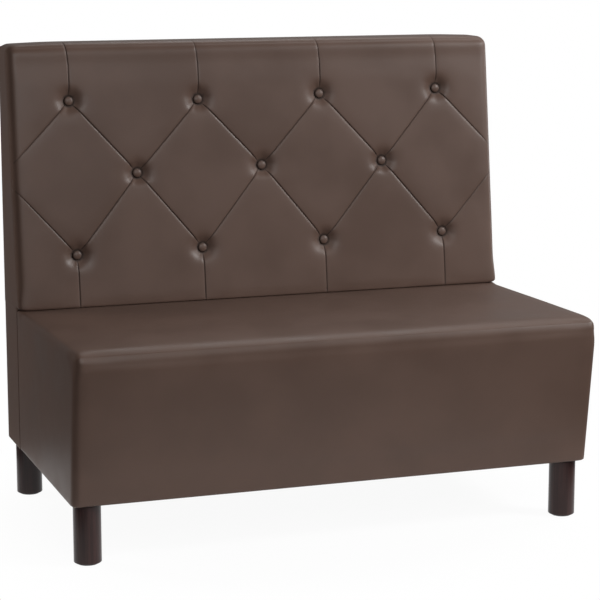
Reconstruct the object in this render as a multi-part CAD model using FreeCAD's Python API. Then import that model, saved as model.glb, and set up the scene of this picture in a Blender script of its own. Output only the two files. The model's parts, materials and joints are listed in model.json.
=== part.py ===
import FreeCAD, Part
import math
import os

# Upholstered banquette: a padded seat box bolted to a deep-buttoned back, on four round legs.
# Millimetres. X runs along the bench, +Y towards the wall behind it, +Z up. The origin is on the
# floor under the middle of the bench. Left is -X, as the bench is seen from in front.

Vector = FreeCAD.Vector

# Overall form
bench_width = 1200.0
bench_height = 1070.0
seat_box_depth = 575.0
back_base_depth = 135.0
seat_height = 472.0
seat_fall = 9.0
front_lean = 46.0
floor_clearance = 130.0
cushion_overhang = 34.0
recline_share = 0.126
joint_gap = 0.8
cushion_gap = 0.6

# Rounded and crowned forms
nose_radius = 36.0
edge_radius = 18.0
seat_rear_chamfer = 6.0
crest_radius = 26.0
foot_radius = 22.0
seat_crown = 4.0

# Covers and cloths
cover_thickness = 1.4
dust_cloth_thickness = 0.8
cover_clearance = 0.3
hem_width = 28.0
dust_cloth_margin = 8.0
rear_cover_margin = 7.0
rear_cover_corner = 14.0

# Buttons and tufts
button_pitch_share = 0.255
top_row_share = 0.784
middle_row_share = 0.509
bottom_row_share = 0.208
top_row_count = 4
middle_row_count = 3
bottom_row_count = 4
button_radius = 12.0
button_base_radius = 7.0
button_crown_radius = 3.5
button_rim_height = 3.6
button_height = 9.0
dimple_radius = 40.0
dimple_depth = 15.0
dimple_seat_radius = 11.5
pleat_half_width = 12.0
pleat_depth = 4.0
pleat_deep_end = 7.0
pleat_fade_depth = 0.3
pleat_fade_length = 26.0
pleat_start_radius = 14.0
tuft_rise = 0.5
twine_radius = 1.0
twine_hole_radius = 1.5
knot_radius = 3.0
knot_height = 4.0
tuft_sides = 12
tuft_washer_radius = 11.0
tuft_washer_thickness = 2.0

# Back frame
side_frame_thickness = 21.0
back_board_thickness = 9.0
rear_board_thickness = 3.0
top_rail_share = 0.62
middle_rail_share = 0.33
middle_rail_thickness = 24.0
lower_rail_thickness = 24.0
lower_rail_height = 220.0
base_board_thickness = 24.0

# Seat frame
seat_board_thickness = 18.0
side_pad_thickness = 6.0
front_pad_thickness = 10.0
seat_foam_thickness = 100.0
webbing_thickness = 1.5
webbing_width = 60.0
cross_strap_count = 8
long_strap_count = 3
webbing_end_margin = 4.0
deck_cloth_thickness = 1.0
bearer_thickness = 24.0
bearer_height = 110.0
leg_block_size = 85.0
corner_block_size = 60.0
corner_block_clearance = 6.0

# Legs and their fixings
leg_radius = 30.0
leg_inset = 41.0
leg_foot_chamfer = 1.5
glide_radius = 23.0
glide_height = 3.0
glide_pin_radius = 2.5
glide_pin_length = 18.0
leg_bolt_radius = 5.0
leg_bolt_depth = 50.0
leg_bolt_projection = 6.0
leg_nut_radius = 11.0
leg_nut_barrel_radius = 6.5
nut_flange_thickness = 1.6
nut_barrel_share = 0.6
bore_clearance = 0.2

# Bolts between the seat box and the back
unit_bolt_radius = 4.0
unit_bolt_drop = 154.0
unit_bolt_spread_share = 0.85
unit_bolt_count = 4
unit_bolt_projection = 5.0
bolt_head_radius = 7.5
bolt_head_height = 5.3
unit_washer_radius = 12.0
unit_washer_thickness = 1.6
unit_nut_radius = 11.0
unit_nut_barrel_radius = 5.5

# Frame screws
screw_radius = 2.25
screw_head_radius = 4.5
screw_head_height = 2.8
screw_grip = 32.0
screw_pitch = 36.0

# Flat sides of the small fixings: bolts and bores, and washers and flanges
shank_sides = 6
flange_sides = 8

# How far cutting shapes run past what they cut, and how close two places count as one
overrun = 5.0
same_place = 0.01

# Planes that the pieces share. The front leans, so its straight line, carried up to the top of
# the seat, would stand nose_reach ahead of the rolled edge.
half_width = bench_width / 2
bench_depth = seat_box_depth + back_base_depth
y_rear = bench_depth / 2
y_joint = y_rear - back_base_depth
z_hem = floor_clearance + dust_cloth_thickness
lean_angle = math.atan(front_lean / (seat_height - z_hem))
nose_reach = nose_radius * (math.tan(lean_angle) + 1 / math.cos(lean_angle) - 1)
y_front = -bench_depth / 2 - nose_reach
y_toe = y_front + front_lean
y_seat_rear = y_joint - joint_gap / 2
y_back_front = y_joint + joint_gap / 2
y_back_rear = y_rear - cover_thickness
z_frame = z_hem + cover_thickness
z_seat_rear = seat_height - seat_fall
z_ledge = z_seat_rear + cushion_gap
soft_inset = cover_thickness + cover_clearance

# Planes of the back frame
rear_edge_chamfer = cover_thickness + rear_board_thickness
hem_chamfer = cover_thickness
y_frame_front = y_back_front + cover_thickness
y_frame_rear = y_back_rear - cover_thickness - rear_board_thickness
z_frame_top = bench_height - cover_thickness - edge_radius
side_frame_outer = half_width - cover_thickness
side_frame_inner = side_frame_outer - side_frame_thickness

# Rows of buttons, and the rails above and between them
face_rise = bench_height - z_ledge
button_pitch = bench_width * button_pitch_share
top_row_height = z_ledge + face_rise * top_row_share
middle_row_height = z_ledge + face_rise * middle_row_share
bottom_row_height = z_ledge + face_rise * bottom_row_share
middle_rail_center = (middle_row_height + bottom_row_height) / 2
middle_rail_height = (middle_row_height - bottom_row_height) * middle_rail_share
top_rail_height = (z_frame_top - top_row_height) * top_rail_share

# Bolts between the seat box and the back
unit_bolt_height = z_ledge - unit_bolt_drop
unit_bolt_pitch = bench_width * unit_bolt_spread_share / (unit_bolt_count - 1)
corner_block_top = unit_bolt_height - unit_washer_radius - corner_block_clearance

# Planes of the seat frame
z_foam = seat_height - seat_foam_thickness
z_deck = z_foam - deck_cloth_thickness
z_board_top = z_deck - webbing_thickness
side_board_outer = half_width - soft_inset - side_pad_thickness
side_board_inner = side_board_outer - seat_board_thickness
y_rear_board = y_seat_rear - cover_thickness

# Frame of the back cushion's face: x along the bench, v up the slope, h out of the face
recline_angle = math.atan(recline_share)
face_rise_share = math.cos(recline_angle)
face_tilt = 90 - math.degrees(recline_angle)
board_front_level = -(cushion_overhang + joint_gap / 2 + cover_thickness) * face_rise_share
board_back_level = board_front_level - back_board_thickness * face_rise_share

LEFT_RIGHT = {"left": -1, "right": 1}


def flat_face(corners):
    return Part.Face(Part.makePolygon(corners + corners[:1]))


def prism_x(points, x_low, x_high):
    """Solid with the outline points (y, z), from x_low to x_high along the bench."""
    face = flat_face([Vector(x_low, y, z) for y, z in points])
    return face.extrude(Vector(x_high - x_low, 0, 0))


def block(low, high):
    """Box between two opposite corners."""
    size = [b - a for a, b in zip(low, high)]
    return Part.makeBox(size[0], size[1], size[2], Vector(*low))


def flat_solid(rings, folded):
    """Solid with flat faces through rings of corners; each side is folded where it would twist."""
    faces = [flat_face(rings[0]), flat_face(rings[-1])]
    for low, high in zip(rings, rings[1:]):
        for index, corner in enumerate(low):
            after = (index + 1) % len(low)
            if folded:
                faces.append(flat_face([corner, low[after], high[after]]))
                faces.append(flat_face([corner, high[after], high[index]]))
            else:
                faces.append(flat_face([corner, low[after], high[after], high[index]]))
    shell = Part.makeShell(faces)
    shell.sewShape()
    solid = Part.makeSolid(shell)
    return solid if solid.Volume > 0 else solid.reversed()


def faceted(rings, sides):
    """Solid about Z through rings (radius, height), listed from the lowest, with flat sides."""
    turns = [2 * math.pi * index / sides for index in range(sides)]
    corners = [
        [Vector(radius * math.cos(t), radius * math.sin(t), height) for t in turns]
        for radius, height in rings
    ]
    return flat_solid(corners, False)


def rod(radius, low, high, sides):
    return faceted([(radius, low), (radius, high)], sides)


def level_arc(run, rise):
    """Middle (run, rise) of an arc that leaves level and climbs by rise over run."""
    radius = (run ** 2 + rise ** 2) / (2 * rise)
    half_angle = math.asin(run / radius) / 2
    return radius * math.sin(half_angle), radius * (1 - math.cos(half_angle))


def arc_between(start, through, end):
    return Part.Arc(start, through, end).toShape()


def line_between(start, end):
    return Part.LineSegment(start, end).toShape()


def mirrored_pair(solid):
    """A solid on the right and its mirror image on the left."""
    return [solid.mirror(Vector(0, 0, 0), Vector(1, 0, 0)), solid]


def moved(solid, x, y, z):
    copy = solid.copy()
    copy.translate(Vector(x, y, z))
    return copy


def spread(count, pitch):
    """Places of count items, pitch apart, about the middle of the bench."""
    return [(index - (count - 1) / 2) * pitch for index in range(count)]


def rounded(solid, radius, chosen):
    """Fillet the edges whose middle point passes the test."""
    edges = [edge for edge in solid.Edges if chosen(edge, edge.CenterOfMass)]
    return solid.makeFillet(radius, edges)


def chamfered(solid, size, chosen):
    """Chamfer the edges whose middle point passes the test."""
    edges = [edge for edge in solid.Edges if chosen(edge, edge.CenterOfMass)]
    return solid.makeChamfer(size, edges)


def near(value, target):
    return abs(value - target) < same_place


def flat_at(edge, axis, level):
    """Whether both ends and the middle of an edge lie on one level of an axis."""
    places = [getattr(vertex.Point, axis) for vertex in edge.Vertexes]
    places.append(getattr(edge.CenterOfMass, axis))
    return all(near(place, level) for place in places)


def runs_across(edge):
    """Whether an edge runs most of the way along the bench."""
    ends = [vertex.Point.x for vertex in edge.Vertexes]
    return max(ends) - min(ends) > half_width


# Seat box

def front_line(z):
    """Y of the straight front of the seat box at height z."""
    share = (z - z_hem) / (seat_height - z_hem)
    return y_front + front_lean * (1 - share)


def seat_outline(x, inset):
    """Outline of the seat box, with its crowned top, at one end of the bench."""
    low = z_hem + inset
    high = seat_height - inset
    toe = Vector(x, front_line(low) + inset, low)
    nose = Vector(x, front_line(high) + inset, high)
    rear_top = Vector(x, y_seat_rear - inset, z_seat_rear - inset)
    heel = Vector(x, y_seat_rear - inset, low)
    top_middle = (nose + rear_top) / 2 + Vector(0, 0, seat_crown)
    edges = [
        line_between(toe, nose),
        arc_between(nose, top_middle, rear_top),
        line_between(rear_top, heel),
        line_between(heel, toe),
    ]
    return Part.Wire(edges)


def seat_form(inset):
    """Crowned seat box with a rolled front edge, drawn in on every side by inset.

    Its lower edges are sharp, because the boards inside it are.
    """
    end = half_width - inset
    low = z_hem + inset
    middle_height = (low + seat_height) / 2
    rear = y_seat_rear - inset
    form = Part.Face(seat_outline(-end, inset)).extrude(Vector(2 * end, 0, 0))
    form = rounded(
        form,
        nose_radius - inset,
        lambda edge, middle: runs_across(edge) and middle.y < 0 and middle.z > middle_height,
    )
    form = rounded(
        form,
        edge_radius - inset,
        lambda edge, middle: near(abs(middle.x), end)
        and not flat_at(edge, "z", low)
        and not flat_at(edge, "y", rear),
    )
    return chamfered(
        form,
        seat_rear_chamfer - inset,
        lambda edge, middle: flat_at(edge, "y", rear) and not flat_at(edge, "z", low),
    )


def seat_cover():
    """Skin of the seat box, turned under at the bottom and at the back."""
    outside = chamfered(seat_form(0), hem_chamfer, lambda edge, middle: flat_at(edge, "z", z_hem))
    skin = outside.cut(seat_form(cover_thickness))
    bottom = block(
        (hem_width - half_width, y_toe + hem_width, z_hem - overrun),
        (half_width - hem_width, y_seat_rear - hem_width, z_frame + overrun),
    )
    rear = block(
        (hem_width - half_width, y_rear_board - overrun, z_hem + hem_width),
        (half_width - hem_width, y_seat_rear + overrun, z_seat_rear - hem_width),
    )
    return skin.cut([bottom, rear])


def board_front(z):
    """Y of the front board's face at height z."""
    return front_line(z) + soft_inset + front_pad_thickness


def seat_padding():
    """Foam block, front pad and side pads, all parts of one padded form."""
    form = seat_form(soft_inset)
    far = half_width + overrun
    ahead = y_front - overrun
    above = seat_height + seat_crown + overrun
    foam = form.common(block((-far, ahead, z_foam), (far, y_rear, above)))
    front = [
        (ahead, z_frame),
        (board_front(z_frame), z_frame),
        (board_front(z_foam), z_foam),
        (ahead, z_foam),
    ]
    front_pad = form.common(prism_x(front, -far, far))
    side = [
        (board_front(z_frame), z_frame),
        (y_rear, z_frame),
        (y_rear, z_foam),
        (board_front(z_foam), z_foam),
    ]
    right_pad = form.common(prism_x(side, side_board_outer, far))
    left_pad, right_pad = mirrored_pair(right_pad)
    return {
        "seat_foam": foam,
        "seat_front_pad": front_pad,
        "seat_side_pad_left": left_pad,
        "seat_side_pad_right": right_pad,
    }


def board_rear(z):
    """Y of the front board's inner face at height z."""
    return board_front(z) + seat_board_thickness


def seat_frame():
    """Boards, bearer and blocks of the seat box."""
    front = [
        (board_front(z_frame), z_frame),
        (board_rear(z_frame), z_frame),
        (board_rear(z_board_top), z_board_top),
        (board_front(z_board_top), z_board_top),
    ]
    z_side_top = z_board_top - webbing_thickness
    side = [
        (board_rear(z_frame), z_frame),
        (y_rear_board, z_frame),
        (y_rear_board, z_side_top),
        (board_rear(z_side_top), z_side_top),
    ]
    y_inside = y_rear_board - seat_board_thickness
    bearer_top = z_frame + bearer_height
    bearer = [
        (board_rear(z_frame), z_frame),
        (y_inside, z_frame),
        (y_inside, bearer_top),
        (board_rear(bearer_top), bearer_top),
    ]
    block_top = z_frame + base_board_thickness
    leg_block = [
        (board_rear(z_frame), z_frame),
        (board_rear(z_frame) + leg_block_size, z_frame),
        (board_rear(z_frame) + leg_block_size, block_top),
        (board_rear(block_top), block_top),
    ]
    left_side, right_side = mirrored_pair(prism_x(side, side_board_inner, side_board_outer))
    leg_block = prism_x(leg_block, side_board_inner - leg_block_size, side_board_inner)
    corner = [
        Vector(side_board_inner, y_inside, z_frame),
        Vector(side_board_inner - corner_block_size, y_inside, z_frame),
        Vector(side_board_inner, y_inside - corner_block_size, z_frame),
    ]
    corner_block = flat_face(corner).extrude(Vector(0, 0, corner_block_top - z_frame))
    rear_board = block(
        (-side_board_inner, y_inside, z_frame),
        (side_board_inner, y_rear_board, z_board_top),
    )
    return {
        "seat_front_board": prism_x(front, -side_board_outer, side_board_outer),
        "seat_side_board_left": left_side,
        "seat_side_board_right": right_side,
        "seat_rear_board": rear_board.cut(unit_bolt_holes(unit_bolt_radius + bore_clearance)),
        "seat_bearer": prism_x(bearer, -bearer_thickness / 2, bearer_thickness / 2),
        "front_leg_blocks": Part.Compound(mirrored_pair(leg_block)).cut(leg_nut_bores()),
        "seat_corner_blocks": Part.Compound(mirrored_pair(corner_block)),
    }


def seat_webbing():
    """Straps from front to back over straps from side to side, under a deck cloth."""
    front = board_front(z_board_top) + webbing_end_margin
    rear = y_rear_board - webbing_end_margin
    side = side_board_outer - webbing_end_margin
    cross_pitch = 2 * side_board_inner / cross_strap_count
    inner_depth = y_rear_board - seat_board_thickness - board_rear(z_board_top)
    long_pitch = inner_depth / long_strap_count
    inner_middle = board_rear(z_board_top) + inner_depth / 2
    half_strap = webbing_width / 2
    cross = [
        block((x - half_strap, front, z_board_top), (x + half_strap, rear, z_deck))
        for x in spread(cross_strap_count, cross_pitch)
    ]
    z_long = z_board_top - webbing_thickness
    long = [
        block((-side, inner_middle + y - half_strap, z_long),
              (side, inner_middle + y + half_strap, z_board_top))
        for y in spread(long_strap_count, long_pitch)
    ]
    return {
        "seat_webbing_cross": Part.Compound(cross),
        "seat_webbing_long": Part.Compound(long),
        "seat_deck_cloth": block((-side, front, z_deck), (side, rear, z_foam)),
    }


# Back

def cushion_front(z):
    """Y of the back cushion's face at height z."""
    return y_joint - cushion_overhang + recline_share * (z - z_ledge)


def tuft_board_front(z):
    """Y of the tufting board's face at height z, parallel to the cushion's face."""
    return cushion_front(z) + cushion_overhang + joint_gap / 2 + cover_thickness


def tuft_board_back(z):
    return tuft_board_front(z) + back_board_thickness


def back_form(inset):
    """Reclined back with its overhanging cushion and rounded edges, drawn in by inset."""
    end = half_width - inset
    low = z_hem + inset
    top = bench_height - inset
    ledge = z_ledge + inset
    front = y_back_front + inset
    rear = y_back_rear - inset
    outline = [
        (rear, low),
        (front, low),
        (front, ledge),
        (cushion_front(ledge) + inset / face_rise_share, ledge),
        (cushion_front(top) + inset / face_rise_share, top),
        (rear, top),
    ]
    form = prism_x(outline, -end, end)
    form = rounded(
        form,
        crest_radius - inset,
        lambda edge, middle: runs_across(edge) and near(middle.z, top) and not near(middle.y, rear),
    )
    form = rounded(
        form,
        foot_radius - inset,
        lambda edge, middle: runs_across(edge) and near(middle.z, ledge) and middle.y < y_joint,
    )
    form = rounded(
        form,
        edge_radius - inset,
        lambda edge, middle: near(abs(middle.x), end)
        and middle.z > ledge - same_place
        and not flat_at(edge, "y", rear),
    )
    return chamfered(
        form,
        rear_edge_chamfer - inset,
        lambda edge, middle: flat_at(edge, "y", rear) and not flat_at(edge, "z", low),
    )


def on_face(solid):
    """Carry a solid from face coordinates (x, v, h) to its place on the back cushion."""
    turn = FreeCAD.Rotation(Vector(1, 0, 0), face_tilt)
    base = Vector(0, cushion_front(z_ledge), z_ledge)
    placed = solid.copy()
    placed.Placement = FreeCAD.Placement(base, turn).multiply(placed.Placement)
    return placed


def face_height(z):
    """Distance v up the slope for a height z."""
    return (z - z_ledge) / face_rise_share


def button_rows():
    """Places (x, v) of the buttons, one list for each row from the top."""
    rows = [
        (top_row_height, top_row_count),
        (middle_row_height, middle_row_count),
        (bottom_row_height, bottom_row_count),
    ]
    return [[(x, face_height(z)) for x in spread(count, button_pitch)] for z, count in rows]


def button_places():
    return [place for row in button_rows() for place in row]


def pleat_groups():
    """Lines (start, end) of the pleats, in groups whose pleats stay clear of each other."""
    top, middle, bottom = button_rows()
    reached = [(x, middle[0][1]) for x in spread(middle_row_count + 2, button_pitch)]
    falling = []
    rising = []
    for row in (top, bottom):
        for x, v in row:
            for end in reached:
                if near(end[0] - x, button_pitch / 2):
                    falling.append(((x, v), end))
                if near(x - end[0], button_pitch / 2):
                    rising.append(((x, v), end))
    down = [(place, (place[0], face_height(z_ledge))) for place in bottom]
    up = [(place, (place[0], crest_start())) for place in top]
    return [falling, rising, down + up]


def crest_start():
    """Distance v up the slope at which the rounded crest begins."""
    top = face_height(bench_height)
    return top - crest_radius * math.tan(math.radians(face_tilt) / 2)


def pleat_section(depth, place):
    """Corners of a pleat's section; place turns (w, h) into a point."""
    return [
        place(-pleat_half_width, tuft_rise),
        place(0, -depth),
        place(pleat_half_width, tuft_rise),
    ]


def pleat(start, end, inset):
    """Cutting shape of a pleat between two places (x, v), deepest at the buttons."""
    buttons = button_places()
    along = Vector(end[0] - start[0], end[1] - start[1], 0)
    length = along.Length
    along.normalize()
    across = Vector(-along.y, along.x, 0)
    last = (length - pleat_start_radius, pleat_deep_end) if end in buttons else (length, pleat_depth)
    stations = [(pleat_start_radius, pleat_deep_end), (length / 2, pleat_depth), last]
    sections = []
    for distance, depth in stations:
        center = Vector(start[0], start[1], -inset) + along * distance
        sections.append(
            pleat_section(depth, lambda w, h: center + across * w + Vector(0, 0, h))
        )
    return on_face(flat_solid(sections, True))


def crest_pleat(x, inset):
    """Cutting shape of a pleat that rolls over the crest and fades out on the top."""
    radius = crest_radius - inset
    z_center = bench_height - crest_radius
    center = Vector(x, cushion_front(z_center) + crest_radius / face_rise_share, z_center)
    out = Vector(0, -math.cos(recline_angle), math.sin(recline_angle))
    section = pleat_section(
        pleat_depth, lambda w, h: center + Vector(w, 0, 0) + out * (radius + h)
    )
    roll = flat_face(section).revolve(center, Vector(1, 0, 0), -face_tilt)
    fades = []
    for depth, length in ((pleat_depth, 0), (pleat_fade_depth, pleat_fade_length)):
        fades.append(
            pleat_section(depth, lambda w, h: center + Vector(w, length, radius + h))
        )
    return [roll, flat_solid(fades, True)]


def dimple(place, inset):
    """Cutting shape of the dimple round one button, rolling in from the face to its seat."""
    span = dimple_radius - dimple_seat_radius
    run, fall = level_arc(span, dimple_depth + tuft_rise)
    solid = faceted(
        [
            (dimple_seat_radius, -dimple_depth),
            (dimple_radius - run, tuft_rise - fall),
            (dimple_radius, tuft_rise),
        ],
        tuft_sides,
    )
    return on_face(moved(solid, place[0], place[1], -inset))


def tufted_form(inset):
    """The back with its dimples and pleats, at one depth of skin."""
    form = back_form(inset).cut([dimple(place, inset) for place in button_places()])
    for group in pleat_groups():
        form = form.cut([pleat(start, end, inset) for start, end in group])
    crest_pleats = [crest_pleat(x, inset) for x, v in button_rows()[0]]
    for tools in zip(*crest_pleats):
        form = form.cut(list(tools))
    return form


def at_buttons(solid):
    """Copies of a solid, made about the h axis, at every button."""
    return [on_face(moved(solid, x, v, 0)) for x, v in button_places()]


def twine_holes():
    return at_buttons(rod(twine_hole_radius, board_back_level - overrun, 0, shank_sides))


def back_cover():
    """Tufted skin of the back, turned under at the bottom, the rear and behind the seat."""
    skin = tufted_form(0).cut(tufted_form(cover_thickness))
    side = half_width - hem_width
    bottom = block(
        (-side, y_back_front + hem_width, z_hem - overrun),
        (side, y_back_rear - hem_width, z_frame + overrun),
    )
    rear = block(
        (-side, y_back_rear - cover_thickness - overrun, z_hem + hem_width),
        (side, y_back_rear + overrun, bench_height - hem_width),
    )
    behind_seat = block(
        (-side, y_back_front - overrun, z_hem + hem_width),
        (side, y_frame_front + overrun, z_ledge - hem_width),
    )
    return skin.cut([bottom, rear, behind_seat] + twine_holes())


def back_padding():
    """Tufted foam in front of the board, and the pad over the top rail."""
    form = tufted_form(soft_inset)
    far = half_width + overrun
    ahead = y_front
    above = bench_height + overrun
    front = [
        (ahead, z_ledge),
        (tuft_board_front(z_ledge), z_ledge),
        (tuft_board_front(above), above),
        (ahead, above),
    ]
    behind = [
        (tuft_board_front(z_frame_top), z_frame_top),
        (y_rear, z_frame_top),
        (y_rear, above),
        (tuft_board_front(above), above),
    ]
    return {
        "back_foam": form.common(prism_x(front, -far, far)).cut(twine_holes()),
        "back_top_pad": form.common(prism_x(behind, -far, far)),
    }


def leaning_rail(low, high, rear):
    """Rail behind the tufting board, with its front face on the board."""
    outline = [
        (tuft_board_back(low), low),
        (rear(low), low),
        (rear(high), high),
        (tuft_board_back(high), high),
    ]
    return prism_x(outline, -side_frame_inner, side_frame_inner)


def back_frame():
    """Side frames, rails and boards of the back."""
    side = [
        (y_frame_rear, z_frame),
        (y_frame_front, z_frame),
        (y_frame_front, z_ledge),
        (tuft_board_back(z_ledge), z_ledge),
        (tuft_board_back(z_frame_top), z_frame_top),
        (y_frame_rear, z_frame_top),
    ]
    left, right = mirrored_pair(prism_x(side, side_frame_inner, side_frame_outer))
    board = [
        (tuft_board_front(z_ledge), z_ledge),
        (tuft_board_back(z_ledge), z_ledge),
        (tuft_board_back(z_frame_top), z_frame_top),
        (tuft_board_front(z_frame_top), z_frame_top),
    ]
    board = prism_x(board, -side_frame_outer, side_frame_outer)
    half_rail = middle_rail_height / 2
    base_top = z_frame + base_board_thickness
    lower_rail = block(
        (-side_frame_inner, y_frame_front, z_ledge - lower_rail_height),
        (side_frame_inner, y_frame_front + lower_rail_thickness, z_ledge),
    )
    base = block(
        (-side_frame_inner, y_frame_front, z_frame),
        (side_frame_inner, y_frame_rear, base_top),
    )
    rear_half = side_frame_outer - rear_board_thickness
    screws = frame_screw_bores()
    return {
        "back_side_frame_left": left.cut(screws),
        "back_side_frame_right": right.cut(screws),
        "back_top_rail": leaning_rail(
            z_frame_top - top_rail_height, z_frame_top, lambda z: y_frame_rear
        ).cut(screws),
        "back_middle_rail": leaning_rail(
            middle_rail_center - half_rail,
            middle_rail_center + half_rail,
            lambda z: tuft_board_back(z) + middle_rail_thickness,
        ).cut(screws),
        "back_lower_rail": lower_rail.cut(unit_nut_bores() + screws),
        "back_base_board": base.cut(leg_nut_bores() + screws),
        "tuft_board": board.cut(twine_holes()),
        "back_rear_board": block(
            (-rear_half, y_frame_rear, z_frame),
            (rear_half, y_frame_rear + rear_board_thickness, z_frame_top),
        ),
    }


def rear_cover():
    """Flat skin over the rear of the back, with rounded top corners."""
    sheet = block(
        (rear_cover_margin - half_width, y_back_rear, z_hem),
        (half_width - rear_cover_margin, y_rear, bench_height - rear_cover_margin),
    )
    return rounded(
        sheet,
        rear_cover_corner,
        lambda edge, middle: near(middle.y, (y_back_rear + y_rear) / 2) and middle.z > z_ledge,
    )


def dust_cloths():
    """Thin cloths under the seat and the back, with holes for the leg bolts."""
    side = half_width - dust_cloth_margin
    seat = block(
        (-side, y_toe + dust_cloth_margin, floor_clearance),
        (side, y_seat_rear - dust_cloth_margin, z_hem),
    )
    back = block(
        (-side, y_back_front + dust_cloth_margin, floor_clearance),
        (side, y_back_rear - dust_cloth_margin, z_hem),
    )
    holes = [
        moved(rod(leg_bolt_radius + bore_clearance, 0, z_hem, shank_sides), x, y, 0)
        for x, y in leg_places().values()
    ]
    return {"seat_dust_cloth": seat.cut(holes), "back_dust_cloth": back.cut(holes)}


# Buttons

def tuft_hardware():
    """Covered buttons, the twines that draw them in and the washers behind the board."""
    run, rise = level_arc(button_radius - button_base_radius, button_rim_height)
    out, fall = level_arc(button_radius, button_height - button_rim_height)
    button = faceted(
        [
            (button_base_radius, -dimple_depth),
            (button_base_radius + run, rise - dimple_depth),
            (button_radius, button_rim_height - dimple_depth),
            (out, button_height - fall - dimple_depth),
            (button_crown_radius, button_height - dimple_depth),
        ],
        tuft_sides,
    )
    washer_level = board_back_level - tuft_washer_thickness
    washer = rod(tuft_washer_radius, washer_level, board_back_level, flange_sides)
    hole = rod(twine_hole_radius, washer_level, board_back_level, shank_sides)
    knot = rod(knot_radius, washer_level - knot_height, washer_level, shank_sides)
    twine = rod(twine_radius, washer_level, -dimple_depth, shank_sides)
    return {
        "tuft_buttons": Part.Compound(at_buttons(button)),
        "tuft_twines": Part.Compound(at_buttons(twine.fuse(knot))),
        "tuft_washers": Part.Compound(at_buttons(washer.cut(hole))),
    }


# Legs

def leg_places():
    """Centres (x, y) of the legs by name."""
    front_y = y_toe + leg_inset
    rear_y = y_rear - leg_inset
    places = {}
    for row, y in (("front", front_y), ("rear", rear_y)):
        for side, sign in LEFT_RIGHT.items():
            places[f"leg_{row}_{side}"] = (sign * (half_width - leg_inset), y)
    return places


def leg_nut_bores():
    """Bores for the tee nuts of the legs and the bolts below them."""
    top = z_frame + base_board_thickness
    bore = rod(leg_nut_barrel_radius + bore_clearance, z_frame, top, shank_sides)
    return [moved(bore, x, y, 0) for x, y in leg_places().values()]


def tee_nut(flange_radius, barrel_radius, length, bore_radius):
    """Tee nut with its flange at the top and its barrel below, about Z."""
    barrel = rod(barrel_radius, -length, 0, shank_sides)
    flange = rod(flange_radius, 0, nut_flange_thickness, flange_sides)
    bore = rod(bore_radius, -length, nut_flange_thickness, shank_sides)
    return barrel.fuse(flange).cut(bore)


def legs():
    """Round legs with their glides, bolts and tee nuts."""
    leg = Part.makeCylinder(
        leg_radius, floor_clearance - glide_height, Vector(0, 0, glide_height)
    )
    leg = chamfered(leg, leg_foot_chamfer, lambda edge, middle: flat_at(edge, "z", glide_height))
    bolt_foot = floor_clearance - leg_bolt_depth
    pin_top = glide_height + glide_pin_length
    socket = rod(leg_bolt_radius + bore_clearance, bolt_foot, floor_clearance, shank_sides)
    pin_hole = rod(glide_pin_radius + bore_clearance, glide_height, pin_top, shank_sides)
    leg = leg.cut([socket, pin_hole])
    pin = rod(glide_pin_radius, glide_height, pin_top, shank_sides)
    glide = Part.makeCylinder(glide_radius, glide_height).fuse(pin)
    nut_level = z_frame + base_board_thickness
    bolt_top = nut_level + nut_flange_thickness + leg_bolt_projection
    bolt = rod(leg_bolt_radius, bolt_foot, bolt_top, shank_sides)
    nut = tee_nut(
        leg_nut_radius,
        leg_nut_barrel_radius,
        base_board_thickness * nut_barrel_share,
        leg_bolt_radius + bore_clearance,
    )
    nut = moved(nut, 0, 0, nut_level)
    places = leg_places()
    pieces = {name: moved(leg, x, y, 0) for name, (x, y) in places.items()}
    for name, solid in (("leg_glides", glide), ("leg_bolts", bolt), ("leg_tee_nuts", nut)):
        pieces[name] = Part.Compound([moved(solid, x, y, 0) for x, y in places.values()])
    return pieces


# Bolts between the seat box and the back

def lengthwise(solid, y):
    """Turn a solid made about +Z so that it points to the rear, and set it at every unit bolt."""
    turned_back = solid.copy()
    turned_back.rotate(Vector(0, 0, 0), Vector(1, 0, 0), -90)
    return [
        moved(turned_back, x, y, unit_bolt_height)
        for x in spread(unit_bolt_count, unit_bolt_pitch)
    ]


def unit_bolt_holes(radius):
    length = seat_board_thickness + 2 * overrun
    start = y_rear_board - seat_board_thickness - overrun
    return lengthwise(rod(radius, 0, length, shank_sides), start)


def unit_nut_bores():
    radius = unit_nut_barrel_radius + bore_clearance
    return lengthwise(rod(radius, 0, lower_rail_thickness, shank_sides), y_frame_front)


def unit_bolts():
    """Hexagon bolts through the seat's rear board into tee nuts behind the back's lower rail."""
    head_seat = y_rear_board - seat_board_thickness - unit_washer_thickness
    nut_seat = y_frame_front + lower_rail_thickness
    length = nut_seat + nut_flange_thickness + unit_bolt_projection - head_seat
    head = rod(bolt_head_radius, -bolt_head_height, 0, shank_sides)
    bolt = rod(unit_bolt_radius, 0, length, shank_sides).fuse(head)
    bore_radius = unit_bolt_radius + bore_clearance
    bore = rod(bore_radius, 0, unit_washer_thickness, shank_sides)
    washer = rod(unit_washer_radius, 0, unit_washer_thickness, flange_sides).cut(bore)
    barrel = lower_rail_thickness * nut_barrel_share
    nut = tee_nut(unit_nut_radius, unit_nut_barrel_radius, barrel, bore_radius)
    return {
        "unit_bolts": Part.Compound(lengthwise(bolt, head_seat)),
        "unit_washers": Part.Compound(lengthwise(washer, head_seat)),
        "unit_tee_nuts": Part.Compound(lengthwise(nut, nut_seat)),
    }


# Screws of the back frame

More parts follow.
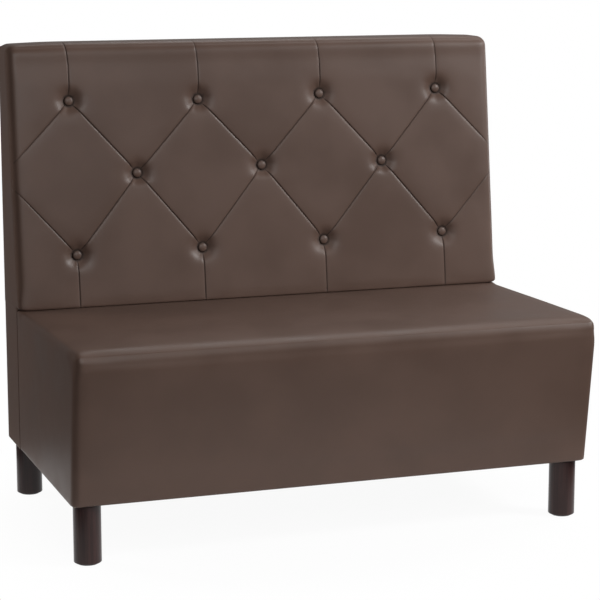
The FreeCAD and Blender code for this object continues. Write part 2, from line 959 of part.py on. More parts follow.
def frame_screw_places():
    """Places (y, z) of the screws that go through each side frame into the rails."""
    half_pitch = screw_pitch / 2
    top_center = z_frame_top - top_rail_height / 2
    lower_center = z_ledge - lower_rail_height / 2
    rail_y = (tuft_board_back(top_center) + y_frame_rear) / 2
    middle_y = tuft_board_back(middle_rail_center) + middle_rail_thickness / 2
    lower_y = y_frame_front + lower_rail_thickness / 2
    base_y = (y_frame_front + y_frame_rear) / 2
    base_z = z_frame + base_board_thickness / 2
    centers = [(rail_y, top_center), (middle_y, middle_rail_center), (lower_y, lower_center)]
    places = [(y, z + step) for y, z in centers for step in (-half_pitch, half_pitch)]
    places.extend((base_y + step, base_z) for step in (-half_pitch, half_pitch))
    return places


def screw(clearance):
    """Countersunk screw with its flat head outwards, made about Z with its head at zero."""
    length = side_frame_thickness + screw_grip
    shank = screw_radius + clearance
    rings = [(shank, -length), (shank, -screw_head_height), (screw_head_radius + clearance, 0)]
    return faceted(rings, shank_sides)


def frame_screws(clearance):
    solid = screw(clearance)
    solid.rotate(Vector(0, 0, 0), Vector(0, 1, 0), 90)
    rights = [moved(solid, side_frame_outer, y, z) for y, z in frame_screw_places()]
    return [copy for right in rights for copy in mirrored_pair(right)]


def frame_screw_bores():
    return frame_screws(bore_clearance)


def all_pieces():
    pieces = {"seat_cover": seat_cover(), "back_cover": back_cover(), "rear_cover": rear_cover()}
    for group in (
        seat_padding(),
        seat_frame(),
        seat_webbing(),
        back_padding(),
        back_frame(),
        dust_cloths(),
        tuft_hardware(),
        legs(),
        unit_bolts(),
    ):
        pieces.update(group)
    pieces["frame_screws"] = Part.Compound(frame_screws(0))
    return pieces


os.makedirs("parts", exist_ok=True)
for node, shape in all_pieces().items():
    shape.exportStep(f"parts/{node}.step")
    print(node, len(shape.Solids), shape.isValid(), round(shape.Volume))
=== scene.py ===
import json
import math

import bmesh
import bpy
import numpy as np
from bpy.props import FloatProperty, FloatVectorProperty, IntProperty, PointerProperty
from mathutils import Matrix, Vector


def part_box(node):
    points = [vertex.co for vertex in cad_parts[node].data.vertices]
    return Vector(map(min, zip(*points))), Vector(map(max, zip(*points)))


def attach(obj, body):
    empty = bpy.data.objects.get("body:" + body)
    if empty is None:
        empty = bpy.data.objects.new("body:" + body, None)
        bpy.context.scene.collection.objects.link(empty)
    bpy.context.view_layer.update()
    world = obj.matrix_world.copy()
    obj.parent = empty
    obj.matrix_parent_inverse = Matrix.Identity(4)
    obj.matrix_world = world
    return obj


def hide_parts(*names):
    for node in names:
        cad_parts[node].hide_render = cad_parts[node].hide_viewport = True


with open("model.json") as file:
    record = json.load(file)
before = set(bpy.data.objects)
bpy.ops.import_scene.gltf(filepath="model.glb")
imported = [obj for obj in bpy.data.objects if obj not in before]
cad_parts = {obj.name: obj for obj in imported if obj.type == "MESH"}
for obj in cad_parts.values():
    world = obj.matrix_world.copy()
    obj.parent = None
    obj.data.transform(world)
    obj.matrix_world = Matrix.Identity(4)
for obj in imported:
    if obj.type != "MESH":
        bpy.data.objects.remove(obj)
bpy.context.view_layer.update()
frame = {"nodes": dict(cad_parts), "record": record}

bl_info = {
    "name": "Buttoned Banquette",
    "version": (1, 0, 0),
    "blender": (4, 5, 0),
    "location": "View3D > Sidebar > Banquette",
    "description": "Upholstery, finishes and studio for a buttoned banquette",
    "category": "Object",
}

MM = 0.001
SEAT_LOW, SEAT_HIGH = (Vector(corner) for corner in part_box("seat_cover"))
BACK_LOW, BACK_HIGH = (Vector(corner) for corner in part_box("back_cover"))
REAR_LOW, REAR_HIGH = (Vector(corner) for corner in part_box("rear_cover"))


def length(name, description, default):
    """A size in metres that a user may change."""
    return FloatProperty(
        name=name, description=description, default=default, unit="LENGTH", precision=4
    )


def colour(name, description, default):
    """A linear colour that a user may change."""
    return FloatVectorProperty(
        name=name, description=description, default=default, size=3, subtype="COLOR", min=0, max=1
    )


class BanquetteSizes(bpy.types.PropertyGroup):
    """Sizes of the upholstery."""

    edge_roll: length("Edge roll", "Radius of the seat's rolled ends", 18 * MM)
    side_roll: length("Side roll", "Radius of the back cushion's sides", 24 * MM)
    corner_roll: length("Corner roll", "Radius of the back's upper corners", 22 * MM)
    nose_roll: length("Nose roll", "Radius of the seat's front edge", 36 * MM)
    crest_roll: length("Crest roll", "Radius of the back's top edge", 26 * MM)
    foot_roll: length("Foot roll", "Radius of the cushion's lower edge", 9 * MM)
    hem_roll: length("Hem roll", "Radius where the cover turns under the frame", 6 * MM)
    rear_roll: length("Rear roll", "Radius of the seat's rear corners", 10 * MM)
    plinth_roll: length("Plinth roll", "Radius of the sharp edges under the back", 2.5 * MM)
    seat_height: length("Seat height", "Height of the seat's sharp front corner", 472 * MM)
    nose_trim: length("Nose trim", "How far rolling the nose draws it back", 5.2 * MM)
    seat_lean: length("Seat lean", "How far the seat's front leans out over its foot", 46 * MM)
    seat_fall: length("Seat fall", "How far the seat drops to the back", 9 * MM)
    seat_crown: length("Seat crown", "Rise of the padded seat at its middle", 4 * MM)
    ledge_height: length("Ledge height", "Where the back cushion overhangs the seat", 463.6 * MM)
    overhang: length("Overhang", "How far the back cushion comes over the seat", 34 * MM)
    recline: FloatProperty(
        name="Recline", description="Run of the back's face for each unit of rise", default=0.126
    )
    end_droop: length("End droop", "How far the crest drops towards its ends", 3 * MM)
    button_pitch: length("Button pitch", "Distance between the buttons of a row", 306 * MM)
    top_row: length("Top row", "Height of the top row of buttons", 939 * MM)
    middle_row: length("Middle row", "Height of the middle row of buttons", 772 * MM)
    bottom_row: length("Bottom row", "Height of the bottom row of buttons", 590 * MM)
    button_radius: length("Button radius", "Radius of a covered button", 11.5 * MM)
    button_height: length("Button height", "Height of a covered button", 9 * MM)
    dimple_radius: length("Dimple radius", "Reach of the dimple round a button", 40 * MM)
    dimple_depth: length("Dimple depth", "How far a button is drawn in", 16 * MM)
    pleat_depth: length("Pleat depth", "Depth of a pleat between two buttons", 2.6 * MM)
    cover_thickness: length("Cover thickness", "Thickness of the leathercloth", 1.4 * MM)
    cloth_margin: length("Cloth margin", "How far a dust cloth's rim is turned in", 9 * MM)
    staple_pitch: length("Staple pitch", "Distance between the staples of a dust cloth", 55 * MM)
    cell: length("Cell", "Mesh size of the covers before they are puffed", 12 * MM)
    puff_frames: IntProperty(
        name="Puff frames", description="Frames of cloth that swell a cover", default=20, min=2
    )


class BanquetteColours(bpy.types.PropertyGroup):
    """Colours of the finishes."""

    leathercloth: colour("Leathercloth", "Brown leathercloth", (0.084, 0.0515, 0.0395))
    stain: colour("Stain", "Dark stain of the legs", (0.034, 0.014, 0.0125))
    foam: colour("Foam", "Upholstery foam", (0.75, 0.67, 0.48))
    plywood: colour("Plywood", "Sanded plywood", (0.54, 0.34, 0.16))
    softwood: colour("Softwood", "Planed softwood", (0.64, 0.42, 0.2))
    hardboard: colour("Hardboard", "Smooth hardboard", (0.17, 0.084, 0.036))
    webbing: colour("Webbing", "Elastic webbing", (0.047, 0.04, 0.033))
    hessian: colour("Hessian", "Deck cloth over the webbing", (0.39, 0.3, 0.16))
    dust_cloth: colour("Dust cloth", "Spun-bonded cloth under the bench", (0.01, 0.01, 0.01))
    twine: colour("Twine", "Waxed twine of the buttons", (0.6, 0.54, 0.39))
    zinc: colour("Zinc", "Zinc-plated steel", (0.42, 0.42, 0.43))
    nylon: colour("Nylon", "Nylon of the glides", (0.011, 0.009, 0.009))
    floor: colour("Floor", "Studio floor", (0.86, 0.86, 0.86))


def sizes():
    return bpy.context.scene.banquette_sizes


def colours():
    return bpy.context.scene.banquette_colours


# Mesh tools


def edit_mode():
    bpy.ops.object.mode_set(mode="EDIT")


def object_mode():
    bpy.ops.object.mode_set(mode="OBJECT")


def only_active(piece):
    """Make a piece the only selected object and the active one."""
    bpy.ops.object.select_all(action="DESELECT")
    piece.select_set(True)
    bpy.context.view_layer.objects.active = piece


def named(name):
    """Name the primitive that was just added and settle its place in its mesh."""
    piece = bpy.context.active_object
    piece.name = name
    piece.data.name = name
    bpy.ops.object.transform_apply(location=True, rotation=True, scale=True)
    return piece


def add_block(name, low, high):
    """A cube that fills the box between two corners."""
    bpy.ops.object.select_all(action="DESELECT")
    low, high = Vector(low), Vector(high)
    bpy.ops.mesh.primitive_cube_add(size=1, location=(low + high) / 2, scale=high - low)
    return named(name)


def copy_to(first, name, places):
    """Copy a piece to every place, given as a matrix, and join the copies under one name."""
    copies = []
    for place in places:
        copy = first.copy()
        copy.data = first.data.copy()
        bpy.context.collection.objects.link(copy)
        copy.data.transform(place)
        copies.append(copy)
    bpy.data.objects.remove(first)
    bpy.ops.object.select_all(action="DESELECT")
    for copy in copies:
        copy.select_set(True)
    bpy.context.view_layer.objects.active = copies[0]
    bpy.ops.object.join()
    return named(name)


def choose(piece, kind, test):
    """In edit mode, select the points, edges or faces that pass a test."""
    bpy.ops.mesh.select_all(action="DESELECT")
    bpy.ops.mesh.select_mode(type=kind)
    work = bmesh.from_edit_mesh(piece.data)
    items = {"VERT": work.verts, "EDGE": work.edges, "FACE": work.faces}[kind]
    for item in items:
        if test(item):
            item.select_set(True)
    work.select_flush_mode()
    bmesh.update_edit_mesh(piece.data)


def cut_planes(places, normal):
    """In edit mode, cut the whole mesh by parallel planes through the places."""
    for place in places:
        bpy.ops.mesh.select_all(action="SELECT")
        bpy.ops.mesh.bisect(plane_co=place, plane_no=normal)


def roll_steps(radius):
    """Distances from an edge at which its roll is divided."""
    return [radius * (1 - math.cos(angle)) for angle in np.radians((26, 42, 56, 72, 90))]


def even_steps(low, high, pitch):
    """Places between low and high, about a pitch apart, without the ends."""
    count = max(1, round((high - low) / pitch))
    return [low + (high - low) * index / count for index in range(1, count)]


def cut_across(end, roll, pitch):
    """In edit mode, cut a block along its width, closer together in the rolls of its ends."""
    rolls = [end - step for step in roll_steps(roll)]
    inner = even_steps(-rolls[-1], rolls[-1], pitch)
    cut_planes([(x, 0, 0) for x in inner + rolls + [-x for x in rolls]], (1, 0, 0))


def divide_long_edges(piece, cell):
    """Divide every edge that is over two cells long into four."""
    edit_mode()
    choose(piece, "EDGE", lambda edge: edge.calc_length() > 2 * cell)
    bpy.ops.mesh.subdivide(number_cuts=3)
    object_mode()


def read_points(piece):
    points = np.empty(len(piece.data.vertices) * 3)
    piece.data.vertices.foreach_get("co", points)
    return points.reshape(-1, 3)


def write_points(piece, points):
    piece.data.vertices.foreach_set("co", np.ascontiguousarray(points).ravel())
    piece.data.update()


def smooth_step(value, low, high):
    """0 below low, 1 above high and an S-curve between."""
    share = np.clip((value - low) / (high - low), 0, 1)
    return share * share * (3 - 2 * share)


class Side:
    """A flat side of a padded block."""

    def __init__(self, normal, through):
        self.normal = np.array(Vector(normal).normalized())
        self.level = float(self.normal @ np.array(through))

    def depth(self, points):
        """How far the points lie inside this side."""
        return self.level - points @ self.normal


def roll_edges(points, sides, radii):
    """Roll the sharp edges where the sides of a block meet."""
    depths = [side.depth(points) for side in sides]
    near = [np.clip(1 - depth / radius, 0, 1) for depth, radius in zip(depths, radii)]
    size = np.sqrt(sum(share ** 2 for share in near))
    touched = size > 0
    size = np.where(touched, size, 1)
    rolled = points.copy()
    for side, depth, radius, share in zip(sides, depths, radii, near):
        wanted = radius * (1 - share / size)
        shift = np.where((share > 0) & touched, wanted - np.maximum(depth, 0), 0)
        rolled -= shift[:, None] * side.normal
    return rolled


def ripple(points, pitch, seed):
    """A soft hand-made unevenness between -1 and 1, from a few crossing waves."""
    draw = np.random.default_rng(seed)
    total = np.zeros(len(points))
    wave_count = 7
    for _ in range(wave_count):
        direction = draw.normal(size=3)
        direction /= np.linalg.norm(direction)
        phase = draw.uniform(0, 2 * math.pi)
        stretch = draw.uniform(0.7, 1.6)
        total += np.sin(points @ direction * (2 * math.pi * stretch / pitch) + phase)
    return total / wave_count


def puff(piece, loose, pressure, reach):
    """Swell a cover with Cloth where it is loose, and keep every point within its reach."""
    only_active(piece)
    before = read_points(piece)
    held = piece.vertex_groups.new(name="held")
    steps = 10
    levels = np.round((1 - loose) * steps).astype(int)
    for level in range(1, steps + 1):
        held.add(np.flatnonzero(levels == level).tolist(), level / steps, "REPLACE")
    cloth = piece.modifiers.new("puff", "CLOTH")
    settings = cloth.settings
    settings.quality = 5
    settings.mass = 0.3
    settings.tension_stiffness = 30
    settings.compression_stiffness = 30
    settings.shear_stiffness = 8
    settings.bending_stiffness = 4
    settings.vertex_group_mass = held.name
    settings.use_pressure = True
    settings.uniform_pressure_force = pressure
    settings.effector_weights.gravity = 0
    last = sizes().puff_frames
    cloth.point_cache.frame_start = 1
    cloth.point_cache.frame_end = last
    for number in range(1, last + 1):
        bpy.context.scene.frame_set(number)
    bpy.ops.object.modifier_apply(modifier=cloth.name)
    bpy.context.scene.frame_set(1)
    piece.vertex_groups.clear()
    shift = read_points(piece) - before
    moved = np.linalg.norm(shift, axis=1)
    share = np.minimum(1, reach / np.maximum(moved, 1e-9))
    write_points(piece, before + shift * share[:, None])


def refine(piece, reach_of, distance):
    """Halve the faces whose middle lies within a distance of what reach_of measures."""
    only_active(piece)
    centres = np.empty(len(piece.data.polygons) * 3)
    piece.data.polygons.foreach_get("center", centres)
    chosen = reach_of(centres.reshape(-1, 3)) < distance
    edit_mode()
    bpy.ops.mesh.select_mode(type="FACE")
    bpy.ops.mesh.select_all(action="DESELECT")
    work = bmesh.from_edit_mesh(piece.data)
    work.faces.ensure_lookup_table()
    for index in np.flatnonzero(chosen):
        work.faces[index].select_set(True)
    bmesh.update_edit_mesh(piece.data)
    bpy.ops.mesh.subdivide(number_cuts=1)
    object_mode()


def finish_modifier(piece, name, kind, **values):
    """Add a modifier and apply it."""
    only_active(piece)
    modifier = piece.modifiers.new(name, kind)
    for key, value in values.items():
        setattr(modifier, key, value)
    bpy.ops.object.modifier_apply(modifier=modifier.name)


def paint_shade(piece, painted_shade):
    """Keep the painted shade, from 0 to 1, for the material to darken: in the creases, round the
    buttons and on their lower rims.
    """
    mark = piece.data.attributes.new("painted_shade", "FLOAT", "POINT")
    mark.data.foreach_set("value", np.ascontiguousarray(painted_shade, dtype=np.float32))


def dress(piece, finish, slot, *nodes):
    """Give a finished piece its finish and body, and hide the nodes that it stands for; the slot is
    not used.
    """
    only_active(piece)
    piece.data.materials.clear()
    piece.data.materials.append(material_for(finish))
    bpy.ops.object.shade_smooth()
    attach(piece, "root")
    if nodes:
        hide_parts(*nodes)


# The back's face


class Face:
    """Flat reclined face of the back cushion, measured across (x) and up its slope (v)."""

    def __init__(self):
        size = sizes()
        self.foot = np.array((0, SEAT_HIGH.y - size.overhang, size.ledge_height))
        rise = Vector((0, size.recline, 1)).normalized()
        self.up = np.array(rise)
        self.out = np.array((0, -rise.z, rise.y))

    def up_slope(self, height):
        """Distance up the slope of a height above the floor."""
        return (height - self.foot[2]) / self.up[2]

    def measure(self, points):
        """Places across and up the face, and heights in front of it."""
        from_foot = points - self.foot
        return points[:, 0], from_foot @ self.up, from_foot @ self.out

    def place(self, across, up, out=0.0):
        """The point in the shared frame at a place on the face."""
        return Vector(self.foot + up * self.up + out * self.out) + Vector((across, 0, 0))

    def matrix(self, across, up, out):
        """Frame of a piece on the face, with its own Z pointing out of it."""
        turned = Matrix((Vector((1, 0, 0)), Vector(self.up), Vector(self.out))).transposed()
        return Matrix.Translation(self.place(across, up, out)) @ turned.to_4x4()


# How far each button sits from its true place, across and up in millimetres, row by row
BUTTON_DRIFT = (
    ((0, 0), (4, -4), (2, 1), (-2, 6)),
    ((2, -3), (2, 4), (3, 3)),
    ((3, -4), (0, -1), (-1, 2), (2, 7)),
)


def button_rows(face):
    """Places of the buttons on the face, row by row from the top."""
    size = sizes()
    rows = []
    for height, drifts in zip((size.top_row, size.middle_row, size.bottom_row), BUTTON_DRIFT):
        first = -size.button_pitch * (len(drifts) - 1) / 2
        rows.append(
            [
                (first + index * size.button_pitch + across * MM, face.up_slope(height) + up * MM)
                for index, (across, up) in enumerate(drifts)
            ]
        )
    return rows


PLEAT_AT_SIDE = 0.6
PLEAT_AT_EDGE = 0.9
PLEAT_PAST_CREST = 0.2
KNEE_SHARE = 0.62
KNEE_DRIFT = 1 * MM
CREST_DRIFT = 6 * MM


def pleat_lines(face):
    """Ends, across and up the face, and strengths at them of every pleat from its button."""
    size = sizes()
    top, middle, bottom = button_rows(face)
    edge = BACK_HIGH.x + size.side_roll
    middle_up = face.up_slope(size.middle_row)
    full_middle = [(-edge, middle_up)] + middle + [(edge, middle_up)]
    lines = []
    for row in (top, bottom):
        for index, button in enumerate(row):
            for end in full_middle[index:index + 2]:
                lines.append((button, end, 1.0, 1.0 if end in middle else PLEAT_AT_SIDE))
    crest_up = face.up_slope(BACK_HIGH.z)
    for index, (x, v) in enumerate(top):
        knee = (x + KNEE_DRIFT, v + KNEE_SHARE * (crest_up - v))
        crest = (x - CREST_DRIFT, crest_up + size.crest_roll)
        at_crest = PLEAT_AT_EDGE if index == 0 else PLEAT_PAST_CREST
        lines.append(((x, v), knee, 1.0, PLEAT_AT_EDGE))
        lines.append((knee, crest, PLEAT_AT_EDGE, at_crest))
    lines += [((x, v), (x, -size.foot_roll), 1.0, PLEAT_AT_EDGE) for x, v in bottom]
    return lines


def along_line(across, up, line):
    """Share along a line, signed distance beside it and its length; positive is above it."""
    (x0, v0), (x1, v1) = line[:2]
    run, rise = x1 - x0, v1 - v0
    span = math.hypot(run, rise)
    share = ((across - x0) * run + (up - v0) * rise) / span ** 2
    beside = ((up - v0) * run - (across - x0) * rise) / span
    return share, beside if run >= 0 else -beside, span


def line_distance(across, up, line):
    """Distance of places from a line, ends included."""
    share, beside, span = along_line(across, up, line)
    past = np.maximum(np.maximum(-share, share - 1), 0) * span
    return np.hypot(beside, past)


class BANQUETTE_OT_back(bpy.types.Operator):
    """Model the deep-buttoned back and its cover"""

    bl_idname = "banquette.back"
    bl_label = "Buttoned back"

    DROOP_FROM_SHARE = 0.72
    DROOP_BAND = 0.2
    FACE_BAND = 4 * MM
    BUTTON_SEAT_SHARE = 1.1
    DIMPLE_POWER = 2.3
    VALLEY_WIDTH = 12 * MM
    VALLEY_SHARE = 0.12
    HOLLOW_BELOW_CREST = 46 * MM
    HOLLOW_WIDTH = 18 * MM
    HOLLOW_DEPTH = 1.6 * MM
    HELD_BELOW_HOLLOW = 60 * MM
    REFINED_REACH = 9 * MM
    PLEAT_CUTS = (0, 0.9 * MM, -0.9 * MM, 2.6 * MM, -2.6 * MM)
    PLEAT_BAND = 7 * MM
    CREASE_ABOVE = 0.8 * MM
    CREASE_BELOW = 1.4 * MM
    CREASE_SHARE = 0.88
    SHOULDER_WIDTH = 5 * MM
    SHOULDER_SHARE = 0.12
    # Width of the painted shade along a pleat's crease
    PAINTED_SHADE_WIDTH = 0.9 * MM
    PUCKER_HEIGHT = 0.45 * MM
    RIPPLE_HEIGHT = 0.4 * MM

    def execute(self, context):
        size = sizes()
        face = Face()
        piece = self.block(size, face)
        self.roll(piece, size, face)
        self.swell(piece, size, face)
        finish_modifier(piece, "soften", "SUBSURF", levels=1, render_levels=1)
        self.fold(piece, size, face)
        dress(
            piece, "leathercloth", "leathercloth",
            "back_cover", "back_foam", "back_top_pad",
        )
        return {"FINISHED"}

    def block(self, size, face):
        """Sharp block of the cushion and the plinth below it, cut into cells."""
        low = (BACK_LOW.x, face.foot[1], size.ledge_height)
        piece = add_block("buttoned_back", low, BACK_HIGH)
        crest_shift = size.recline * (BACK_HIGH.z - size.ledge_height)
        middle_z = (size.ledge_height + BACK_HIGH.z) / 2
        middle_y = (face.foot[1] + BACK_HIGH.y) / 2
        edit_mode()
        choose(piece, "VERT", lambda v: v.co.z > middle_z and v.co.y < middle_y)
        bpy.ops.transform.translate(value=(0, crest_shift, 0))
        joint = SEAT_HIGH.y
        cut_planes([(0, joint, 0)], (0, 1, 0))
        choose(
            piece, "FACE",
            lambda f: f.normal.z < -0.9 and f.calc_center_median().y > joint,
        )
        drop = BACK_LOW.z - size.ledge_height
        bpy.ops.mesh.extrude_region_move(TRANSFORM_OT_translate={"value": (0, 0, drop)})
        choose(piece, "FACE", lambda f: f.calc_center_median().z < size.ledge_height - MM)
        bpy.ops.mesh.bisect(plane_co=(0, joint + size.plinth_roll, 0), plane_no=(0, 1, 0))
        pitch = 4 * size.cell
        cut_across(BACK_HIGH.x, size.side_roll, pitch)
        crest = [BACK_HIGH.z - step for step in roll_steps(size.crest_roll)]
        foot = [size.ledge_height + step for step in roll_steps(size.foot_roll)]
        plinth = even_steps(BACK_LOW.z, size.ledge_height, pitch)
        hem = [BACK_LOW.z + size.plinth_roll]
        levels = crest + foot + plinth + hem + even_steps(foot[-1], crest[-1], pitch)
        cut_planes([(0, 0, z) for z in levels], (0, 0, 1))
        depths = roll_steps(size.crest_roll) + [2 * size.crest_roll]
        cut_planes([face.place(0, 0, -depth) for depth in depths], face.out)
        cut_planes([(0, BACK_HIGH.y - size.plinth_roll, 0)], (0, 1, 0))
        object_mode()
        divide_long_edges(piece, size.cell)
        return piece

    def roll(self, piece, size, face):
        """Roll the edges of the block and let the ends of its crest drop."""
        points = read_points(piece)
        end = BACK_HIGH.x
        sides = [
            Side((1, 0, 0), (end, 0, 0)),
            Side((-1, 0, 0), (-end, 0, 0)),
            Side(face.out, face.foot),
            Side((0, 0, 1), (0, 0, BACK_HIGH.z)),
            Side((0, 0, -1), (0, 0, size.ledge_height)),
            Side((0, 1, 0), (0, BACK_HIGH.y, 0)),
            Side((0, 0, -1), (0, 0, BACK_LOW.z)),
        ]
        count = len(points)
        from_crest = BACK_HIGH.z - points[:, 2]
        from_foot = points[:, 2] - size.ledge_height
        reach = 3 * size.side_roll
        crest_share = 1 - smooth_step(from_crest, size.crest_roll, reach)
        foot_share = 1 - smooth_step(from_foot, size.foot_roll, reach)
        front_roll = (
            size.side_roll
            + (size.crest_roll - size.side_roll) * crest_share
            + (size.foot_roll - size.side_roll) * foot_share
        )
        from_end = end - np.abs(points[:, 0])
        inner_share = smooth_step(from_end, size.corner_roll, reach)
        top_roll = size.corner_roll + (size.crest_roll - size.corner_roll) * inner_share
        behind = points[:, 1] > SEAT_HIGH.y - size.plinth_roll
        tiny = 1e-6
        in_plinth = behind & (from_foot < tiny)
        end_roll = size.side_roll + (size.corner_roll - size.side_roll) * crest_share
        at_rear = points[:, 1] > BACK_HIGH.y - tiny
        end_roll = np.where(in_plinth | at_rear, size.plinth_roll, end_roll)
        foot_roll = np.where(behind, tiny, size.foot_roll)
        below = np.where(in_plinth, tiny, front_roll)
        hem = np.full(count, size.plinth_roll)
        radii = [end_roll, end_roll, below, top_roll, foot_roll, hem, hem]
        points = roll_edges(points, sides, radii)
        ends = smooth_step(np.abs(points[:, 0]), end * self.DROOP_FROM_SHARE, end)
        high = smooth_step(points[:, 2], BACK_HIGH.z - self.DROOP_BAND, BACK_HIGH.z)
        points[:, 2] -= size.end_droop * ends ** 2 * high
        write_points(piece, points)

    def swell(self, piece, size, face):
        """Draw the buttons in and puff the panels between them."""
        points = read_points(piece)
        across, up = face.measure(points)[:2]
        facing = self.facing(points, size, face)
        drawn = self.dimples(across, up, size, face)
        valley = np.zeros(len(points))
        for line in pleat_lines(face):
            distance = line_distance(across, up, line)
            valley = np.maximum(valley, np.exp(-((distance / self.VALLEY_WIDTH) ** 2)))
        below_crest = face.up_slope(BACK_HIGH.z) - self.HOLLOW_BELOW_CREST
        hollow = self.HOLLOW_DEPTH * np.exp(-(((up - below_crest) / self.HOLLOW_WIDTH) ** 2))
        depth = np.maximum(drawn, valley * size.pleat_depth * self.VALLEY_SHARE) + hollow
        write_points(piece, points - (depth * facing)[:, None] * face.out)
        from_button = self.from_buttons(across, up, face)
        loose = facing * smooth_step(from_button, size.button_radius, 3 * size.button_radius)
        near_crest = smooth_step(up, below_crest - self.HELD_BELOW_HOLLOW, below_crest)
        loose *= (1 - 0.7 * valley) * (1 - near_crest)
        puff(piece, loose, pressure=3.0, reach=1.0 * MM)

    def from_buttons(self, across, up, face):
        """Distance from the middle of the nearest button."""
        places = [place for row in button_rows(face) for place in row]
        return np.min([np.hypot(across - x, up - v) for x, v in places], axis=0)

    def facing(self, points, size, face):
        """1 on the cushion's face, falling to 0 round its edges."""
        across, up, out = face.measure(points)
        top = face.up_slope(BACK_HIGH.z)
        share = smooth_step(out, -size.crest_roll, -self.FACE_BAND)
        share *= smooth_step(BACK_HIGH.x - np.abs(across), 0, size.side_roll * 1.6)
        share *= smooth_step(up, 0, size.foot_roll)
        return share * (1 - smooth_step(up, top - self.FACE_BAND, top + size.crest_roll))

    def dimples(self, across, up, size, face):
        """Depth to which the buttons draw the cover in."""
        depth = np.zeros(len(across))
        seat = size.button_radius * self.BUTTON_SEAT_SHARE
        for row in button_rows(face):
            for x, v in row:
                away = np.maximum(np.hypot(across - x, up - v) - seat, 0)
                share = np.clip(1 - away / (size.dimple_radius - seat), 0, 1)
                depth = np.maximum(depth, size.dimple_depth * share ** self.DIMPLE_POWER)
        return depth

    def fold(self, piece, size, face):
        """Fold the pleats between the buttons and pucker the cover round them."""
        lines = pleat_lines(face)

        def from_pleats(points):
            across, up, out = face.measure(points)
            nearest = np.min([line_distance(across, up, line) for line in lines], axis=0)
            return np.where(out > -2 * size.crest_roll, nearest, 1)

        refine(piece, from_pleats, self.REFINED_REACH)
        self.cut_pleats(piece, size, face, lines)
        points = read_points(piece)
        across, up, out = face.measure(points)
        facing = self.facing(points, size, face)
        over_crest = smooth_step(up, face.up_slope(size.top_row), face.up_slope(BACK_HIGH.z))
        nearest = self.from_buttons(across, up, face)
        clear = smooth_step(nearest, size.button_radius, 2.2 * size.button_radius)
        depth = np.zeros(len(points))
        # Painted shade: the colour darkens along the crease of every pleat and in a ring round
        # every button, standing in for their shadow.
        painted_shade = np.zeros(len(points))
        for line in lines:
            share, beside = along_line(across, up, line)[:2]
            distance = line_distance(across, up, line)
            strength = line[2] + (line[3] - line[2]) * np.clip(share, 0, 1)
            width = np.where(beside > 0, self.CREASE_ABOVE, self.CREASE_BELOW)
            crease = np.exp(-distance / width)
            shoulder = np.exp(-((distance / self.SHOULDER_WIDTH) ** 2))
            form = self.CREASE_SHARE * crease + self.SHOULDER_SHARE * shoulder
            depth = np.maximum(depth, size.pleat_depth * strength * clear * form)
            painted_shade = np.maximum(painted_shade, strength * np.exp(-((distance / self.PAINTED_SHADE_WIDTH) ** 2)))
        folded = np.maximum(facing, 0.5 * over_crest * (out > -size.crest_roll))
        points -= (depth * folded)[:, None] * face.out
        rim_low, rim_high = 1.05 * size.button_radius, 1.5 * size.button_radius
        painted_shade = np.maximum(painted_shade, 1 - smooth_step(nearest, rim_low, rim_high))
        least_fold = 0.05
        paint_shade(piece, painted_shade * (folded > least_fold))
        for row_index, row in enumerate(button_rows(face)):
            for index, (x, v) in enumerate(row):
                away = np.hypot(across - x, up - v)
                angle = np.arctan2(up - v, across - x)
                reach = smooth_step(away, size.button_radius, 1.5 * size.button_radius)
                reach *= 1 - smooth_step(away, 1.5 * size.button_radius, size.dimple_radius)
                turn = 1.7 * index + 0.9 * row_index
                pucker = np.cos(9 * angle + turn) + 0.6 * np.cos(5 * angle - 2 * turn)
                points += (self.PUCKER_HEIGHT * reach * pucker * facing)[:, None] * face.out
        uneven = self.RIPPLE_HEIGHT * ripple(points, pitch=0.24, seed=4)
        points += (uneven * facing)[:, None] * face.out
        write_points(piece, points)

    def cut_pleats(self, piece, size, face, lines):
        """Cut edges along every pleat, so that its fold is crisp."""
        band = self.PLEAT_BAND
        only_active(piece)
        edit_mode()
        bpy.ops.mesh.select_mode(type="FACE")
        for line in lines:
            (x0, v0), (x1, v1) = line[:2]
            middle = face.place((x0 + x1) / 2, (v0 + v1) / 2)
            run = (face.place(x1, v1) - face.place(x0, v0)).normalized()
            beside = run.cross(Vector(face.out))
            half = math.hypot(x1 - x0, v1 - v0) / 2
            for offset in self.PLEAT_CUTS:
                bpy.ops.mesh.select_all(action="DESELECT")
                work = bmesh.from_edit_mesh(piece.data)
                for one in work.faces:
                    away = one.calc_center_median() - middle
                    near = abs(away.dot(beside)) < band and abs(away.dot(run)) < half
                    if near and away.dot(Vector(face.out)) > -2 * size.crest_roll:
                        one.select_set(True)
                bmesh.update_edit_mesh(piece.data)
                bpy.ops.mesh.bisect(plane_co=middle + offset * beside, plane_no=beside)
        object_mode()


